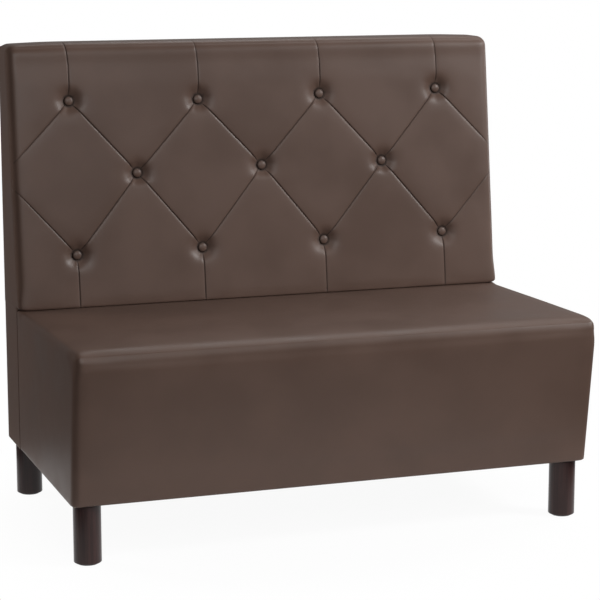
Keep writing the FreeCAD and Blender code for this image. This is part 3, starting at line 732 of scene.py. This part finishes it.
class BANQUETTE_OT_seat(bpy.types.Operator):
    """Model the padded seat box and its cover"""

    bl_idname = "banquette.seat"
    bl_label = "Padded seat"

    REAR_TOP_SHARE = 0.25
    CROWN_POWER = 6
    CROWN_LOW, CROWN_HIGH = 0.1, 0.02
    HELD_LOW, HELD_HIGH = 40 * MM, 8 * MM
    RIPPLE_FADE = 0.1
    TOP_RIPPLE = 0.4 * MM
    FRONT_RIPPLE = 0.3 * MM
    CREASE_BELOW_TOP = 30 * MM
    CREASE_WIDTH = 5 * MM
    CREASE_DEPTH = 1.0 * MM
    CREASE_LOW, CREASE_HIGH = 40 * MM, 25 * MM

    def execute(self, context):
        size = sizes()
        low = Vector(SEAT_LOW)
        high = Vector(SEAT_HIGH)
        height = size.seat_height
        front = SEAT_LOW.y - size.nose_trim
        high.z = height
        low.y = front
        piece = add_block("padded_seat", low, high)
        lean = Vector((0, -1, -size.seat_lean / (height - low.z)))
        fall = Vector((0, size.seat_fall / (high.y - low.y), 1))
        edit_mode()
        middle_z = (low.z + high.z) / 2
        choose(piece, "VERT", lambda v: v.co.z < middle_z and v.co.y < 0)
        bpy.ops.transform.translate(value=(0, size.seat_lean, 0))
        choose(piece, "VERT", lambda v: v.co.z > middle_z and v.co.y > 0)
        bpy.ops.transform.translate(value=(0, 0, -size.seat_fall))
        pitch = 4 * size.cell
        cut_across(high.x, size.edge_roll, pitch)
        nose = np.array((0, front, height))
        steps = roll_steps(size.nose_roll)
        lean_out = np.array(lean.normalized())
        fall_out = np.array(fall.normalized())
        cut_planes([nose - step * lean_out for step in steps], lean)
        cut_planes([nose - step * fall_out for step in steps], fall)
        depth_steps = even_steps(front + size.nose_roll + size.seat_lean, high.y, pitch)
        rear_steps = [high.y - step for step in roll_steps(size.rear_roll)]
        cut_planes([(0, y, 0) for y in depth_steps + rear_steps], (0, 1, 0))
        levels = even_steps(low.z, height - size.nose_roll - size.seat_fall, pitch)
        hem_steps = [low.z + step for step in roll_steps(size.hem_roll)]
        cut_planes([(0, 0, z) for z in levels + hem_steps], (0, 0, 1))
        object_mode()
        divide_long_edges(piece, size.cell)
        self.roll(piece, size, low, high, nose, lean, fall)
        self.swell(piece, size, low, high)
        finish_modifier(piece, "soften", "SUBSURF", levels=1, render_levels=1)
        self.settle(piece, low, high)
        dress(
            piece, "leathercloth", "leathercloth",
            "seat_cover", "seat_foam", "seat_front_pad",
            "seat_side_pad_left", "seat_side_pad_right",
        )
        return {"FINISHED"}

    def roll(self, piece, size, low, high, nose, lean, fall):
        """Roll the front edge and the ends of the block."""
        points = read_points(piece)
        sides = [
            Side((1, 0, 0), (high.x, 0, 0)),
            Side((-1, 0, 0), (low.x, 0, 0)),
            Side(lean, nose),
            Side(fall, nose),
            Side((0, 1, 0), (0, high.y, 0)),
            Side((0, 0, -1), (0, 0, low.z)),
        ]
        reach = 3 * size.edge_roll
        from_front, from_top, from_rear = (sides[index].depth(points) for index in (2, 3, 4))
        more = size.nose_roll - size.edge_roll
        front_roll = size.edge_roll + more * (1 - smooth_step(from_top, size.nose_roll, reach))
        top_roll = size.edge_roll + more * (1 - smooth_step(from_front, size.nose_roll, reach))
        to_rear = smooth_step(from_rear, size.rear_roll, reach)
        top_roll *= self.REAR_TOP_SHARE + (1 - self.REAR_TOP_SHARE) * to_rear
        count = len(points)
        end_roll = size.rear_roll + (size.edge_roll - size.rear_roll) * to_rear
        rear_roll = np.full(count, size.rear_roll)
        hem_roll = np.full(count, size.hem_roll)
        radii = [end_roll, end_roll, front_roll, top_roll, rear_roll, hem_roll]
        write_points(piece, roll_edges(points, sides, radii))

    def swell(self, piece, size, low, high):
        """Crown the seat, then puff its cover."""
        points = read_points(piece)
        ends = 1 - (np.abs(points[:, 0]) / high.x) ** self.CROWN_POWER
        along = (points[:, 1] - low.y) / (high.y - low.y)
        middle = np.clip(4 * along * (1 - along), 0, 1)
        upper = smooth_step(points[:, 2], high.z - self.CROWN_LOW, high.z - self.CROWN_HIGH)
        points[:, 2] += size.seat_crown * ends * middle * upper
        write_points(piece, points)
        loose = smooth_step(points[:, 2], low.z + 2 * size.cell, low.z + 8 * size.cell)
        loose *= smooth_step(high.y - points[:, 1], size.cell, 6 * size.cell)
        from_middle = np.abs(points[:, 0])
        loose *= 1 - smooth_step(from_middle, high.x - self.HELD_LOW, high.x - self.HELD_HIGH)
        puff(piece, loose, pressure=2.0, reach=1.5 * MM)

    def settle(self, piece, low, high):
        """Give the cover the small unevenness of a stretched skin and the crease of its nose."""
        points = read_points(piece)
        held = smooth_step(points[:, 2], low.z, low.z + self.RIPPLE_FADE)
        held *= smooth_step(high.y - points[:, 1], 0, self.RIPPLE_FADE)
        points[:, 2] += self.TOP_RIPPLE * held * ripple(points, pitch=0.34, seed=11)
        points[:, 1] += self.FRONT_RIPPLE * held * ripple(points, pitch=0.3, seed=12)
        crease_low, crease_high = -low.y - self.CREASE_LOW, -low.y - self.CREASE_HIGH
        in_front = smooth_step(-points[:, 1], crease_low, crease_high)
        from_crease = points[:, 2] - (high.z - self.CREASE_BELOW_TOP)
        crease = np.exp(-((from_crease / self.CREASE_WIDTH) ** 2))
        points[:, 1] += self.CREASE_DEPTH * crease * in_front
        write_points(piece, points)


class BANQUETTE_OT_buttons(bpy.types.Operator):
    """Model one covered button and copy it to every place"""

    bl_idname = "banquette.buttons"
    bl_label = "Covered buttons"

    RIM_SHARE = 0.42
    GATHER_COUNT = 14
    GATHER_SHARE = 0.035

    def execute(self, context):
        size = sizes()
        face = Face()
        places = []
        for row_index, row in enumerate(button_rows(face)):
            for index, (x, v) in enumerate(row):
                turn = Matrix.Rotation(0.8 * index + 2.1 * row_index, 4, "Z")
                places.append(face.matrix(x, v, -size.dimple_depth) @ turn)
        piece = copy_to(self.dome(size), "covered_buttons", places)
        dress(piece, "button_leathercloth", "leathercloth", "tuft_buttons")
        return {"FINISHED"}

    def dome(self, size):
        """A domed button with a gathered underside, standing on the origin."""
        bpy.ops.object.select_all(action="DESELECT")
        bpy.ops.mesh.primitive_uv_sphere_add(segments=40, ring_count=20, radius=size.button_radius)
        piece = named("button")
        rim = self.RIM_SHARE * size.button_height
        edit_mode()
        choose(piece, "VERT", lambda v: v.co.z > 0)
        rise = (size.button_height - rim) / size.button_radius
        bpy.ops.transform.resize(value=(1, 1, rise), center_override=(0, 0, 0))
        choose(piece, "VERT", lambda v: v.co.z < 0)
        bpy.ops.transform.resize(value=(1, 1, rim / size.button_radius), center_override=(0, 0, 0))
        bpy.ops.mesh.select_all(action="SELECT")
        bpy.ops.transform.translate(value=(0, 0, rim))
        object_mode()
        points = read_points(piece)
        around = np.arctan2(points[:, 1], points[:, 0])
        low = 1 - smooth_step(points[:, 2], 0, 1.3 * rim)
        gather = 1 + self.GATHER_SHARE * low * np.cos(self.GATHER_COUNT * around)
        points[:, :2] *= gather[:, None]
        write_points(piece, points)
        # Painted shade: the button's lower part is darkened, standing in for the shadow ring round
        # its dome.
        rim_low, rim_high = 0.6 * size.button_height, 0.88 * size.button_height
        paint_shade(piece, 1 - smooth_step(points[:, 2], rim_low, rim_high))
        return piece


PANEL_MARGINS = (2 * MM, 4 * MM, 8 * MM)
PANEL_PITCH = 30 * MM
PANEL_RIM = 5 * MM
PANEL_RIM_SHARE = 0.7
PANEL_RIPPLE = 0.3 * MM
RIPPLE_LOW, RIPPLE_HIGH = 4 * MM, 60 * MM


def stretched_panel(name, middle, turn, span, thickness, corner):
    """A flat panel of cloth with rounded corners that faces where the turn about X puts +Z."""
    bpy.ops.object.select_all(action="DESELECT")
    bpy.ops.mesh.primitive_plane_add(size=1)
    bpy.context.active_object.scale = (span[0], span[1], 1)
    piece = named(name)
    edit_mode()
    bpy.ops.mesh.select_all(action="SELECT")
    bpy.ops.mesh.bevel(offset=corner, segments=5, affect="VERTICES")
    for margin in PANEL_MARGINS:
        choose(piece, "FACE", lambda face: face.calc_area() > 0.4 * span[0] * span[1])
        bpy.ops.mesh.inset(thickness=margin)
    half_x, half_y = span[0] / 2, span[1] / 2
    cut_planes([(x, 0, 0) for x in even_steps(-half_x, half_x, PANEL_PITCH)], (1, 0, 0))
    cut_planes([(0, y, 0) for y in even_steps(-half_y, half_y, PANEL_PITCH)], (0, 1, 0))
    object_mode()
    points = read_points(piece)
    from_rim = np.min([span[axis] / 2 - np.abs(points[:, axis]) for axis in (0, 1)], axis=0)
    points[:, 2] -= PANEL_RIM_SHARE * thickness * (1 - smooth_step(from_rim, 0, PANEL_RIM))
    uneven = PANEL_RIPPLE * (1 + ripple(points, pitch=0.28, seed=21))
    points[:, 2] -= uneven * smooth_step(from_rim, RIPPLE_LOW, RIPPLE_HIGH)
    write_points(piece, points)
    finish_modifier(piece, "thickness", "SOLIDIFY", thickness=thickness, offset=-1)
    piece.data.transform(Matrix.Translation(middle) @ Matrix.Rotation(turn, 4, "X"))
    return piece


class BANQUETTE_OT_rear_panel(bpy.types.Operator):
    """Model the stretched panel that closes the back"""

    bl_idname = "banquette.rear_panel"
    bl_label = "Rear panel"

    def execute(self, context):
        size = sizes()
        flat = (REAR_HIGH.x - REAR_LOW.x, REAR_HIGH.z - REAR_LOW.z)
        middle = (REAR_LOW + REAR_HIGH) / 2
        middle.y = REAR_HIGH.y
        turn = -math.pi / 2
        piece = stretched_panel(
            "rear_panel", middle, turn, flat, thickness=size.cover_thickness, corner=14 * MM
        )
        dress(piece, "leathercloth", "leathercloth", "rear_cover")
        return {"FINISHED"}


class BANQUETTE_OT_dust_cloths(bpy.types.Operator):
    """Model the stapled cloths that close the seat and the back from below"""

    bl_idname = "banquette.dust_cloths"
    bl_label = "Dust cloths"

    SAG = 3 * MM
    SAG_LOW, SAG_HIGH = 75 * MM, 240 * MM
    STAPLE_INSET = 7 * MM
    STAPLE_FROM_CORNER = 12 * MM
    STAPLE_SKEW = 0.12

    def execute(self, context):
        size = sizes()
        staples = []
        for unit, carrier in (("seat", "seat_side_board_left"), ("back", "back_base_board")):
            low, high = (Vector(corner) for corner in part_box(f"{unit}_dust_cloth"))
            turned_in = size.cloth_margin
            flat = (high.x - low.x - 2 * turned_in, high.y - low.y - 2 * turned_in)
            middle = (low + high) / 2
            middle.z = low.z
            name = f"{unit}_dust_sheet"
            thickness = high.z - low.z
            piece = stretched_panel(name, middle, math.pi, flat, thickness, corner=10 * MM)
            self.sag(piece, low, high)
            dress(piece, "dust_cloth", "dust_cloth", f"{unit}_dust_cloth")
            staples += self.staples(size, middle, flat, len(staples))
        piece = copy_to(self.staple(), "dust_cloth_staples", staples)
        dress(piece, "steel", "steel")
        return {"FINISHED"}

    def sag(self, piece, low, high):
        """Let the cloth hang a little, clear of its rim and the legs."""
        points = read_points(piece)
        from_rim = np.minimum(
            np.minimum(points[:, 0] - low.x, high.x - points[:, 0]),
            np.minimum(points[:, 1] - low.y, high.y - points[:, 1]),
        )
        points[:, 2] -= self.SAG * smooth_step(from_rim, self.SAG_LOW, self.SAG_HIGH)
        write_points(piece, points)

    def staples(self, size, middle, flat, made):
        """Places of the staples along the four rims of a cloth, each a little askew."""
        half = [side / 2 - self.STAPLE_INSET for side in flat]
        places = []
        for axis in (0, 1):
            run = half[axis] - self.STAPLE_FROM_CORNER
            for along in even_steps(-run, run, size.staple_pitch):
                for sign in (-1, 1):
                    offset = (along, sign * half[1], 0) if axis == 0 else (sign * half[0], along, 0)
                    skew = self.STAPLE_SKEW * math.sin(2.3 * (made + len(places)))
                    turn = Matrix.Rotation(axis * math.pi / 2 + skew, 4, "Z")
                    places.append(Matrix.Translation(middle + Vector(offset)) @ turn)
        return places

    def staple(self):
        """The crown of one staple, pressed a little into the cloth."""
        half, wire, below = 5 * MM, 0.6 * MM, 0.7 * MM
        piece = add_block("staple", (-half, -wire, -below), (half, wire, wire))
        edit_mode()
        bpy.ops.mesh.select_all(action="SELECT")
        bpy.ops.mesh.bevel(offset=0.35 * MM, segments=1, affect="EDGES")
        object_mode()
        return piece


class BANQUETTE_OT_finishes(bpy.types.Operator):
    """Give every remaining piece of the frame its finish"""

    bl_idname = "banquette.finishes"
    bl_label = "Frame finishes"

    def execute(self, context):
        for part in frame["record"]["subparts"]:
            node = frame["nodes"][part["node"]]
            node.data.materials.clear()
            node.data.materials.append(material_for(part["material_slot"]))
        return {"FINISHED"}


# Materials


def node_group(name, inputs, outputs):
    """An empty shader node group with its sockets and its two end nodes."""
    group = bpy.data.node_groups.new(name, "ShaderNodeTree")
    for socket, kind, default in inputs:
        made = group.interface.new_socket(socket, in_out="INPUT", socket_type=kind)
        if default is not None:
            made.default_value = default
    for socket, kind in outputs:
        group.interface.new_socket(socket, in_out="OUTPUT", socket_type=kind)
    return group, group.nodes.new("NodeGroupInput"), group.nodes.new("NodeGroupOutput")


def add_node(tree, kind, links=None, **values):
    """A node with its values set and its inputs linked."""
    node = tree.nodes.new(kind)
    for key, value in values.items():
        setattr(node, key, value)
    for key, source in (links or {}).items():
        socket = node.inputs[key]
        if isinstance(source, bpy.types.NodeSocket):
            tree.links.new(source, socket)
        else:
            socket.default_value = source
    return node


def math_node(tree, operation, *values):
    links = dict(enumerate(values))
    return add_node(tree, "ShaderNodeMath", links, operation=operation).outputs[0]


def ramp(tree, value, low, high):
    """Map a value from low..high to 0..1."""
    node = add_node(
        tree, "ShaderNodeMapRange",
        {"Value": value, "From Min": low, "From Max": high}, interpolation_type="SMOOTHSTEP",
    )
    return node.outputs["Result"]


def shade_group():
    """Uneven colour: a base colour that wanders between darker and lighter."""
    group, start, end = node_group(
        "Uneven Colour",
        [("Vector", "NodeSocketVector", None), ("Colour", "NodeSocketColor", (1, 1, 1, 1)),
         ("Scale", "NodeSocketFloat", 10.0), ("Amount", "NodeSocketFloat", 0.1)],
        [("Colour", "NodeSocketColor"), ("Mask", "NodeSocketFloat")],
    )
    noise = add_node(
        group, "ShaderNodeTexNoise",
        {"Vector": start.outputs["Vector"], "Scale": start.outputs["Scale"], "Detail": 5.0},
    )
    mask = ramp(group, noise.outputs[0], 0.3, 0.7)
    swing = math_node(group, "SUBTRACT", mask, 0.5)
    level = math_node(group, "MULTIPLY_ADD", swing, start.outputs["Amount"], 1.0)
    tinted = add_node(
        group, "ShaderNodeVectorMath", {0: start.outputs["Colour"], "Scale": level},
        operation="SCALE",
    )
    group.links.new(tinted.outputs[0], end.inputs["Colour"])
    group.links.new(mask, end.inputs["Mask"])
    return group


def grain_group():
    """Pebbled grain of leathercloth: a height in millimetres."""
    group, start, end = node_group(
        "Leather Grain",
        [("Vector", "NodeSocketVector", None), ("Scale", "NodeSocketFloat", 700.0)],
        [("Height", "NodeSocketFloat")],
    )
    bend = add_node(
        group, "ShaderNodeTexNoise", {"Vector": start.outputs["Vector"], "Scale": 260.0}
    )
    wander = add_node(
        group, "ShaderNodeVectorMath", {0: bend.outputs["Color"], 1: (0.002, 0.002, 0.002)},
        operation="MULTIPLY",
    )
    moved = add_node(
        group, "ShaderNodeVectorMath", {0: start.outputs["Vector"], 1: wander.outputs[0]},
        operation="ADD",
    )
    cells = add_node(
        group, "ShaderNodeTexVoronoi",
        {"Vector": moved.outputs[0], "Scale": start.outputs["Scale"]}, feature="SMOOTH_F1",
    )
    pores = add_node(
        group, "ShaderNodeTexNoise",
        {"Vector": start.outputs["Vector"], "Scale": 2400.0, "Detail": 2.0},
    )
    pebble = ramp(group, cells.outputs["Distance"], 0.75, 0.1)
    fine = math_node(group, "MULTIPLY", pores.outputs[0], 0.35)
    group.links.new(math_node(group, "ADD", pebble, fine), end.inputs["Height"])
    return group


def wood_group():
    """Long grain: dark and light fibres that run along one axis."""
    group, start, end = node_group(
        "Wood Grain",
        [("Vector", "NodeSocketVector", None), ("Early", "NodeSocketColor", (1, 1, 1, 1)),
         ("Late", "NodeSocketColor", (0, 0, 0, 1))],
        [("Colour", "NodeSocketColor"), ("Height", "NodeSocketFloat")],
    )
    streaks = add_node(
        group, "ShaderNodeTexNoise",
        {"Vector": start.outputs["Vector"], "Scale": 1.0, "Detail": 8.0, "Roughness": 0.65},
    )
    mask = ramp(group, streaks.outputs[0], 0.32, 0.68)
    # A Mix node has its two colours at inputs 6 and 7 and their mixture at output 2
    mixed = add_node(
        group, "ShaderNodeMix",
        {"Factor": mask, 6: start.outputs["Late"], 7: start.outputs["Early"]}, data_type="RGBA",
    )
    group.links.new(mixed.outputs[2], end.inputs["Colour"])
    group.links.new(mask, end.inputs["Height"])
    return group


def weave_group():
    """Plain weave: threads that cross over and under."""
    group, start, end = node_group(
        "Plain Weave",
        [("Vector", "NodeSocketVector", None), ("Scale", "NodeSocketFloat", 400.0)],
        [("Height", "NodeSocketFloat")],
    )
    heights = []
    for axis in ("X", "Y"):
        wave = add_node(
            group, "ShaderNodeTexWave",
            {"Vector": start.outputs["Vector"], "Scale": start.outputs["Scale"], "Distortion": 0.6},
            bands_direction=axis,
        )
        heights.append(wave.outputs["Fac"])
    group.links.new(math_node(group, "MAXIMUM", *heights), end.inputs["Height"])
    return group


GROUPS = {}


def group_named(key):
    """The shared node group of a kind, built the first time it is asked for."""
    makers = {"shade": shade_group, "grain": grain_group, "wood": wood_group, "weave": weave_group}
    if key not in GROUPS:
        GROUPS[key] = makers[key]()
    return GROUPS[key]


def use_group(tree, key, **links):
    return add_node(tree, "ShaderNodeGroup", links, node_tree=group_named(key))


def new_material(name, roughness, **values):
    """A material with a plain Principled shader, its coordinates and its tree."""
    material = bpy.data.materials.new(name)
    material.use_nodes = True
    tree = material.node_tree
    shader = tree.nodes["Principled BSDF"]
    shader.inputs["Roughness"].default_value = roughness
    for socket, value in values.items():
        shader.inputs[socket.replace("_", " ")].default_value = value
    place = tree.nodes.new("ShaderNodeTexCoord").outputs["Object"]
    return material, tree, shader, place


def bump(tree, shader, height, strength, distance):
    node = add_node(
        tree, "ShaderNodeBump",
        {"Height": height, "Strength": strength, "Distance": distance},
    )
    tree.links.new(node.outputs[0], shader.inputs["Normal"])


def opaque(rgb):
    return (*rgb, 1.0)


def leathercloth(name, grain_scale, grain_height):
    """Semi-matt brown leathercloth with a fine pebbled grain, with painted shade that darkens it in
    creases and round buttons.
    """
    material, tree, shader, place = new_material(name, 0.44, Specular_IOR_Level=0.27)
    shade = use_group(
        tree, "shade", Vector=place, Colour=opaque(colours().leathercloth), Scale=7.0, Amount=0.14
    )
    # Painted shade: the colour falls to 0.28 where the painted-shade mark is full; the surface is
    # also rougher there.
    painted_shade = add_node(tree, "ShaderNodeAttribute", attribute_name="painted_shade").outputs["Fac"]
    left = add_node(
        tree, "ShaderNodeMapRange", {"Value": painted_shade, "To Min": 1.0, "To Max": 0.28}
    ).outputs["Result"]
    tinted = add_node(
        tree, "ShaderNodeVectorMath", {0: shade.outputs["Colour"], "Scale": left},
        operation="SCALE",
    )
    tree.links.new(tinted.outputs[0], shader.inputs["Base Color"])
    grain = use_group(tree, "grain", Vector=place, Scale=grain_scale)
    gloss = add_node(
        tree, "ShaderNodeMapRange",
        {"Value": shade.outputs["Mask"], "To Min": 0.4, "To Max": 0.48},
    ).outputs["Result"]
    roughness = math_node(tree, "MULTIPLY_ADD", painted_shade, 0.4, gloss)
    tree.links.new(roughness, shader.inputs["Roughness"])
    bump(tree, shader, grain.outputs["Height"], 0.35, grain_height)
    return material


def timber(name, early, late, stretch, roughness, **values):
    """Wood whose fibres run along the axis with the smallest stretch."""
    material, tree, shader, place = new_material(name, roughness, **values)
    mapping = add_node(tree, "ShaderNodeMapping", {"Vector": place, "Scale": stretch})
    wood = use_group(
        tree, "wood", Vector=mapping.outputs[0], Early=opaque(early), Late=opaque(late)
    )
    tree.links.new(wood.outputs["Colour"], shader.inputs["Base Color"])
    bump(tree, shader, wood.outputs["Height"], 0.25, 0.3 * MM)
    return material


def woven(name, base, scale, roughness):
    """Woven or felted cloth."""
    material, tree, shader, place = new_material(name, roughness)
    shade = use_group(tree, "shade", Vector=place, Colour=opaque(base), Scale=60.0, Amount=0.35)
    tree.links.new(shade.outputs["Colour"], shader.inputs["Base Color"])
    weave = use_group(tree, "weave", Vector=place, Scale=scale)
    bump(tree, shader, weave.outputs["Height"], 0.6, 0.3 * MM)
    return material


def mottled(name, base, scale, amount, roughness, **values):
    """Foam, board, steel or plastic with a fine uneven surface."""
    material, tree, shader, place = new_material(name, roughness, **values)
    shade = use_group(tree, "shade", Vector=place, Colour=opaque(base), Scale=scale, Amount=amount)
    tree.links.new(shade.outputs["Colour"], shader.inputs["Base Color"])
    bump(tree, shader, shade.outputs["Mask"], 0.2, 0.4 * MM)
    return material


def darker(rgb, share):
    return tuple(channel * share for channel in rgb)


def make_material(key):
    """Build the finish of one slot."""
    c = colours()
    makers = {
        "leathercloth": lambda: leathercloth(
            "Leathercloth", grain_scale=800.0, grain_height=0.12 * MM
        ),
        "button_leathercloth": lambda: leathercloth(
            "Button leathercloth", grain_scale=900.0, grain_height=0.1 * MM
        ),
        "dark_stained_wood": lambda: timber(
            "Dark stained wood", c.stain, darker(c.stain, 0.5),
            stretch=(220, 220, 7), roughness=0.28, Specular_IOR_Level=0.3,
        ),
        "plywood": lambda: timber(
            "Plywood", c.plywood, darker(c.plywood, 0.7), stretch=(14, 90, 120), roughness=0.6
        ),
        "softwood": lambda: timber(
            "Softwood", c.softwood, darker(c.softwood, 0.65), stretch=(6, 110, 110), roughness=0.6
        ),
        "hardboard": lambda: mottled(
            "Hardboard", c.hardboard, scale=300.0, amount=0.3, roughness=0.55
        ),
        "foam": lambda: mottled("Foam", c.foam, scale=700.0, amount=0.25, roughness=0.9),
        "webbing": lambda: woven("Webbing", c.webbing, scale=260.0, roughness=0.8),
        "deck_cloth": lambda: woven("Deck cloth", c.hessian, scale=320.0, roughness=0.9),
        "dust_cloth": lambda: woven("Dust cloth", c.dust_cloth, scale=500.0, roughness=0.9),
        "twine": lambda: woven("Twine", c.twine, scale=900.0, roughness=0.6),
        "steel": lambda: mottled(
            "Zinc-plated steel", c.zinc, scale=180.0, amount=0.25, roughness=0.35, Metallic=1.0
        ),
        "nylon": lambda: mottled("Nylon", c.nylon, scale=400.0, amount=0.3, roughness=0.5),
    }
    return makers[key]()


MATERIALS = {}


def material_for(key):
    if key not in MATERIALS:
        MATERIALS[key] = make_material(key)
    return MATERIALS[key]


def mix_shaders(tree, share, first, second, output):
    """Mix two shaders by a share and put the result out."""
    mix = add_node(tree, "ShaderNodeMixShader", {0: share, 1: first, 2: second})
    tree.links.new(mix.outputs[0], tree.nodes[output].inputs["Surface"])


class BANQUETTE_OT_stage(bpy.types.Operator):
    """Set up the floor, the lamps and the camera"""

    bl_idname = "banquette.stage"
    bl_label = "Studio"

    def execute(self, context):
        context.scene.view_settings.view_transform = "Standard"
        self.floor()
        self.world(context.scene)
        self.lamps(context)
        self.camera(context)
        return {"FINISHED"}

    def floor(self):
        """A pale round floor that is white to the camera away from the bench."""
        bpy.ops.object.select_all(action="DESELECT")
        rim, white_from, shadow_share = 0.95, 0.9, 0.94
        bpy.ops.mesh.primitive_circle_add(vertices=96, radius=rim, fill_type="NGON")
        floor = named("studio_floor")
        material, tree, shader, place = new_material("Studio floor", 0.8)
        shader.inputs["Base Color"].default_value = opaque(colours().floor)
        shader.inputs["Specular IOR Level"].default_value = 0.1
        white = add_node(tree, "ShaderNodeEmission", {"Strength": 1.0})
        path = tree.nodes.new("ShaderNodeLightPath")
        away = add_node(tree, "ShaderNodeVectorMath", {0: place}, operation="LENGTH")
        far = add_node(
            tree, "ShaderNodeMapRange",
            {
                "Value": away.outputs["Value"],
                "From Min": white_from / 2, "From Max": white_from,
                "To Min": shadow_share, "To Max": 1.0,
            },
            interpolation_type="SMOOTHSTEP",
        ).outputs["Result"]
        seen = path.outputs["Is Camera Ray"]
        for ray in ("Is Glossy Ray", "Is Transmission Ray"):
            seen = math_node(tree, "MAXIMUM", seen, path.outputs[ray])
        share = math_node(tree, "MULTIPLY", far, seen)
        mix_shaders(tree, share, shader.outputs[0], white.outputs[0], "Material Output")
        floor.data.materials.append(material)

    def world(self, scene):
        """Soft surrounding light, and white where the camera sees past the floor."""
        world = bpy.data.worlds.new("Studio")
        scene.world = world
        world.use_nodes = True
        tree = world.node_tree
        soft = tree.nodes["Background"]
        soft.inputs["Color"].default_value = (1, 1, 1, 1)
        place = tree.nodes.new("ShaderNodeTexCoord").outputs["Generated"]
        bright_side = add_node(
            tree, "ShaderNodeVectorMath", {0: place, 1: (0.5, 0.75, 0.1)}, operation="DOT_PRODUCT"
        )
        level = add_node(
            tree, "ShaderNodeMapRange",
            {
                "Value": bright_side.outputs["Value"],
                "From Min": 0.3, "From Max": 0.9, "To Min": 0.05, "To Max": 0.3,
            },
            interpolation_type="SMOOTHSTEP",
        )
        tree.links.new(level.outputs["Result"], soft.inputs["Strength"])
        white = add_node(tree, "ShaderNodeBackground", {"Strength": 1.0})
        white.inputs["Color"].default_value = (1, 1, 1, 1)
        path = tree.nodes.new("ShaderNodeLightPath")
        camera_ray = path.outputs["Is Camera Ray"]
        mix_shaders(tree, camera_ray, soft.outputs[0], white.outputs[0], "World Output")

    def lamps(self, context):
        """A key lamp from the right, soft lamps above and in front, and a strip on each side."""
        # Name, place, width and height in metres, power in watts
        rig = (
            ("key", (3.2, -2.1, 2.8), (1.2, 1.2), 190),
            ("top", (1.0, 1.2, 3.0), (2.6, 0.8), 26),
            ("front", (-0.8, -3.8, 2.4), (2.0, 1.2), 74),
            ("right_strip", (2.4, 0.5, 1.3), (0.5, 2.0), 16),
            ("left_strip", (-2.6, 1.8, 1.0), (0.8, 1.8), 52),
        )
        target = Vector((0, 0, 0.6))
        for name, place, (width, height), power in rig:
            light = bpy.data.lights.new(name, "AREA")
            light.shape = "RECTANGLE"
            light.size = width
            light.size_y = height
            light.energy = power
            lamp = bpy.data.objects.new(name, light)
            lamp.location = place
            aim = target - Vector(place)
            lamp.rotation_euler = aim.to_track_quat("-Z", "Y").to_euler()
            lamp.visible_glossy = name != "left_strip"
            context.collection.objects.link(lamp)

    def camera(self, context):
        """The photograph's viewing angle: from the left, a little above."""
        data = bpy.data.cameras.new("camera")
        data.sensor_width = 36
        data.lens = 124.0
        camera = bpy.data.objects.new("camera", data)
        camera.location = (-1.538, -4.417, 1.343)
        downwards, to_right = 0.1808, 0.3384
        camera.rotation_euler = (math.pi / 2 - downwards, 0, -to_right)
        context.collection.objects.link(camera)
        context.scene.camera = camera


class BANQUETTE_PT_panel(bpy.types.Panel):
    """Lists the steps that build the banquette."""

    bl_label = "Banquette"
    bl_idname = "BANQUETTE_PT_panel"
    bl_space_type = "VIEW_3D"
    bl_region_type = "UI"
    bl_category = "Banquette"

    def draw(self, context):
        for step in STEPS:
            self.layout.operator(step.bl_idname)
        for group in (context.scene.banquette_sizes, context.scene.banquette_colours):
            column = self.layout.column()
            for key in group.bl_rna.properties.keys():
                if key not in ("name", "rna_type"):
                    column.prop(group, key)


STEPS = (
    BANQUETTE_OT_finishes,
    BANQUETTE_OT_back,
    BANQUETTE_OT_buttons,
    BANQUETTE_OT_seat,
    BANQUETTE_OT_rear_panel,
    BANQUETTE_OT_dust_cloths,
    BANQUETTE_OT_stage,
)
CLASSES = (BanquetteSizes, BanquetteColours) + STEPS + (BANQUETTE_PT_panel,)


def register():
    for cls in CLASSES:
        bpy.utils.register_class(cls)
    bpy.types.Scene.banquette_sizes = PointerProperty(type=BanquetteSizes)
    bpy.types.Scene.banquette_colours = PointerProperty(type=BanquetteColours)


def unregister():
    del bpy.types.Scene.banquette_colours
    del bpy.types.Scene.banquette_sizes
    for cls in reversed(CLASSES):
        bpy.utils.unregister_class(cls)


def main():
    register()
    bpy.ops.banquette.finishes()
    bpy.ops.banquette.back()
    bpy.ops.banquette.buttons()
    bpy.ops.banquette.seat()
    bpy.ops.banquette.rear_panel()
    bpy.ops.banquette.dust_cloths()
    bpy.ops.banquette.stage()


if __name__ == "__main__":
    main()
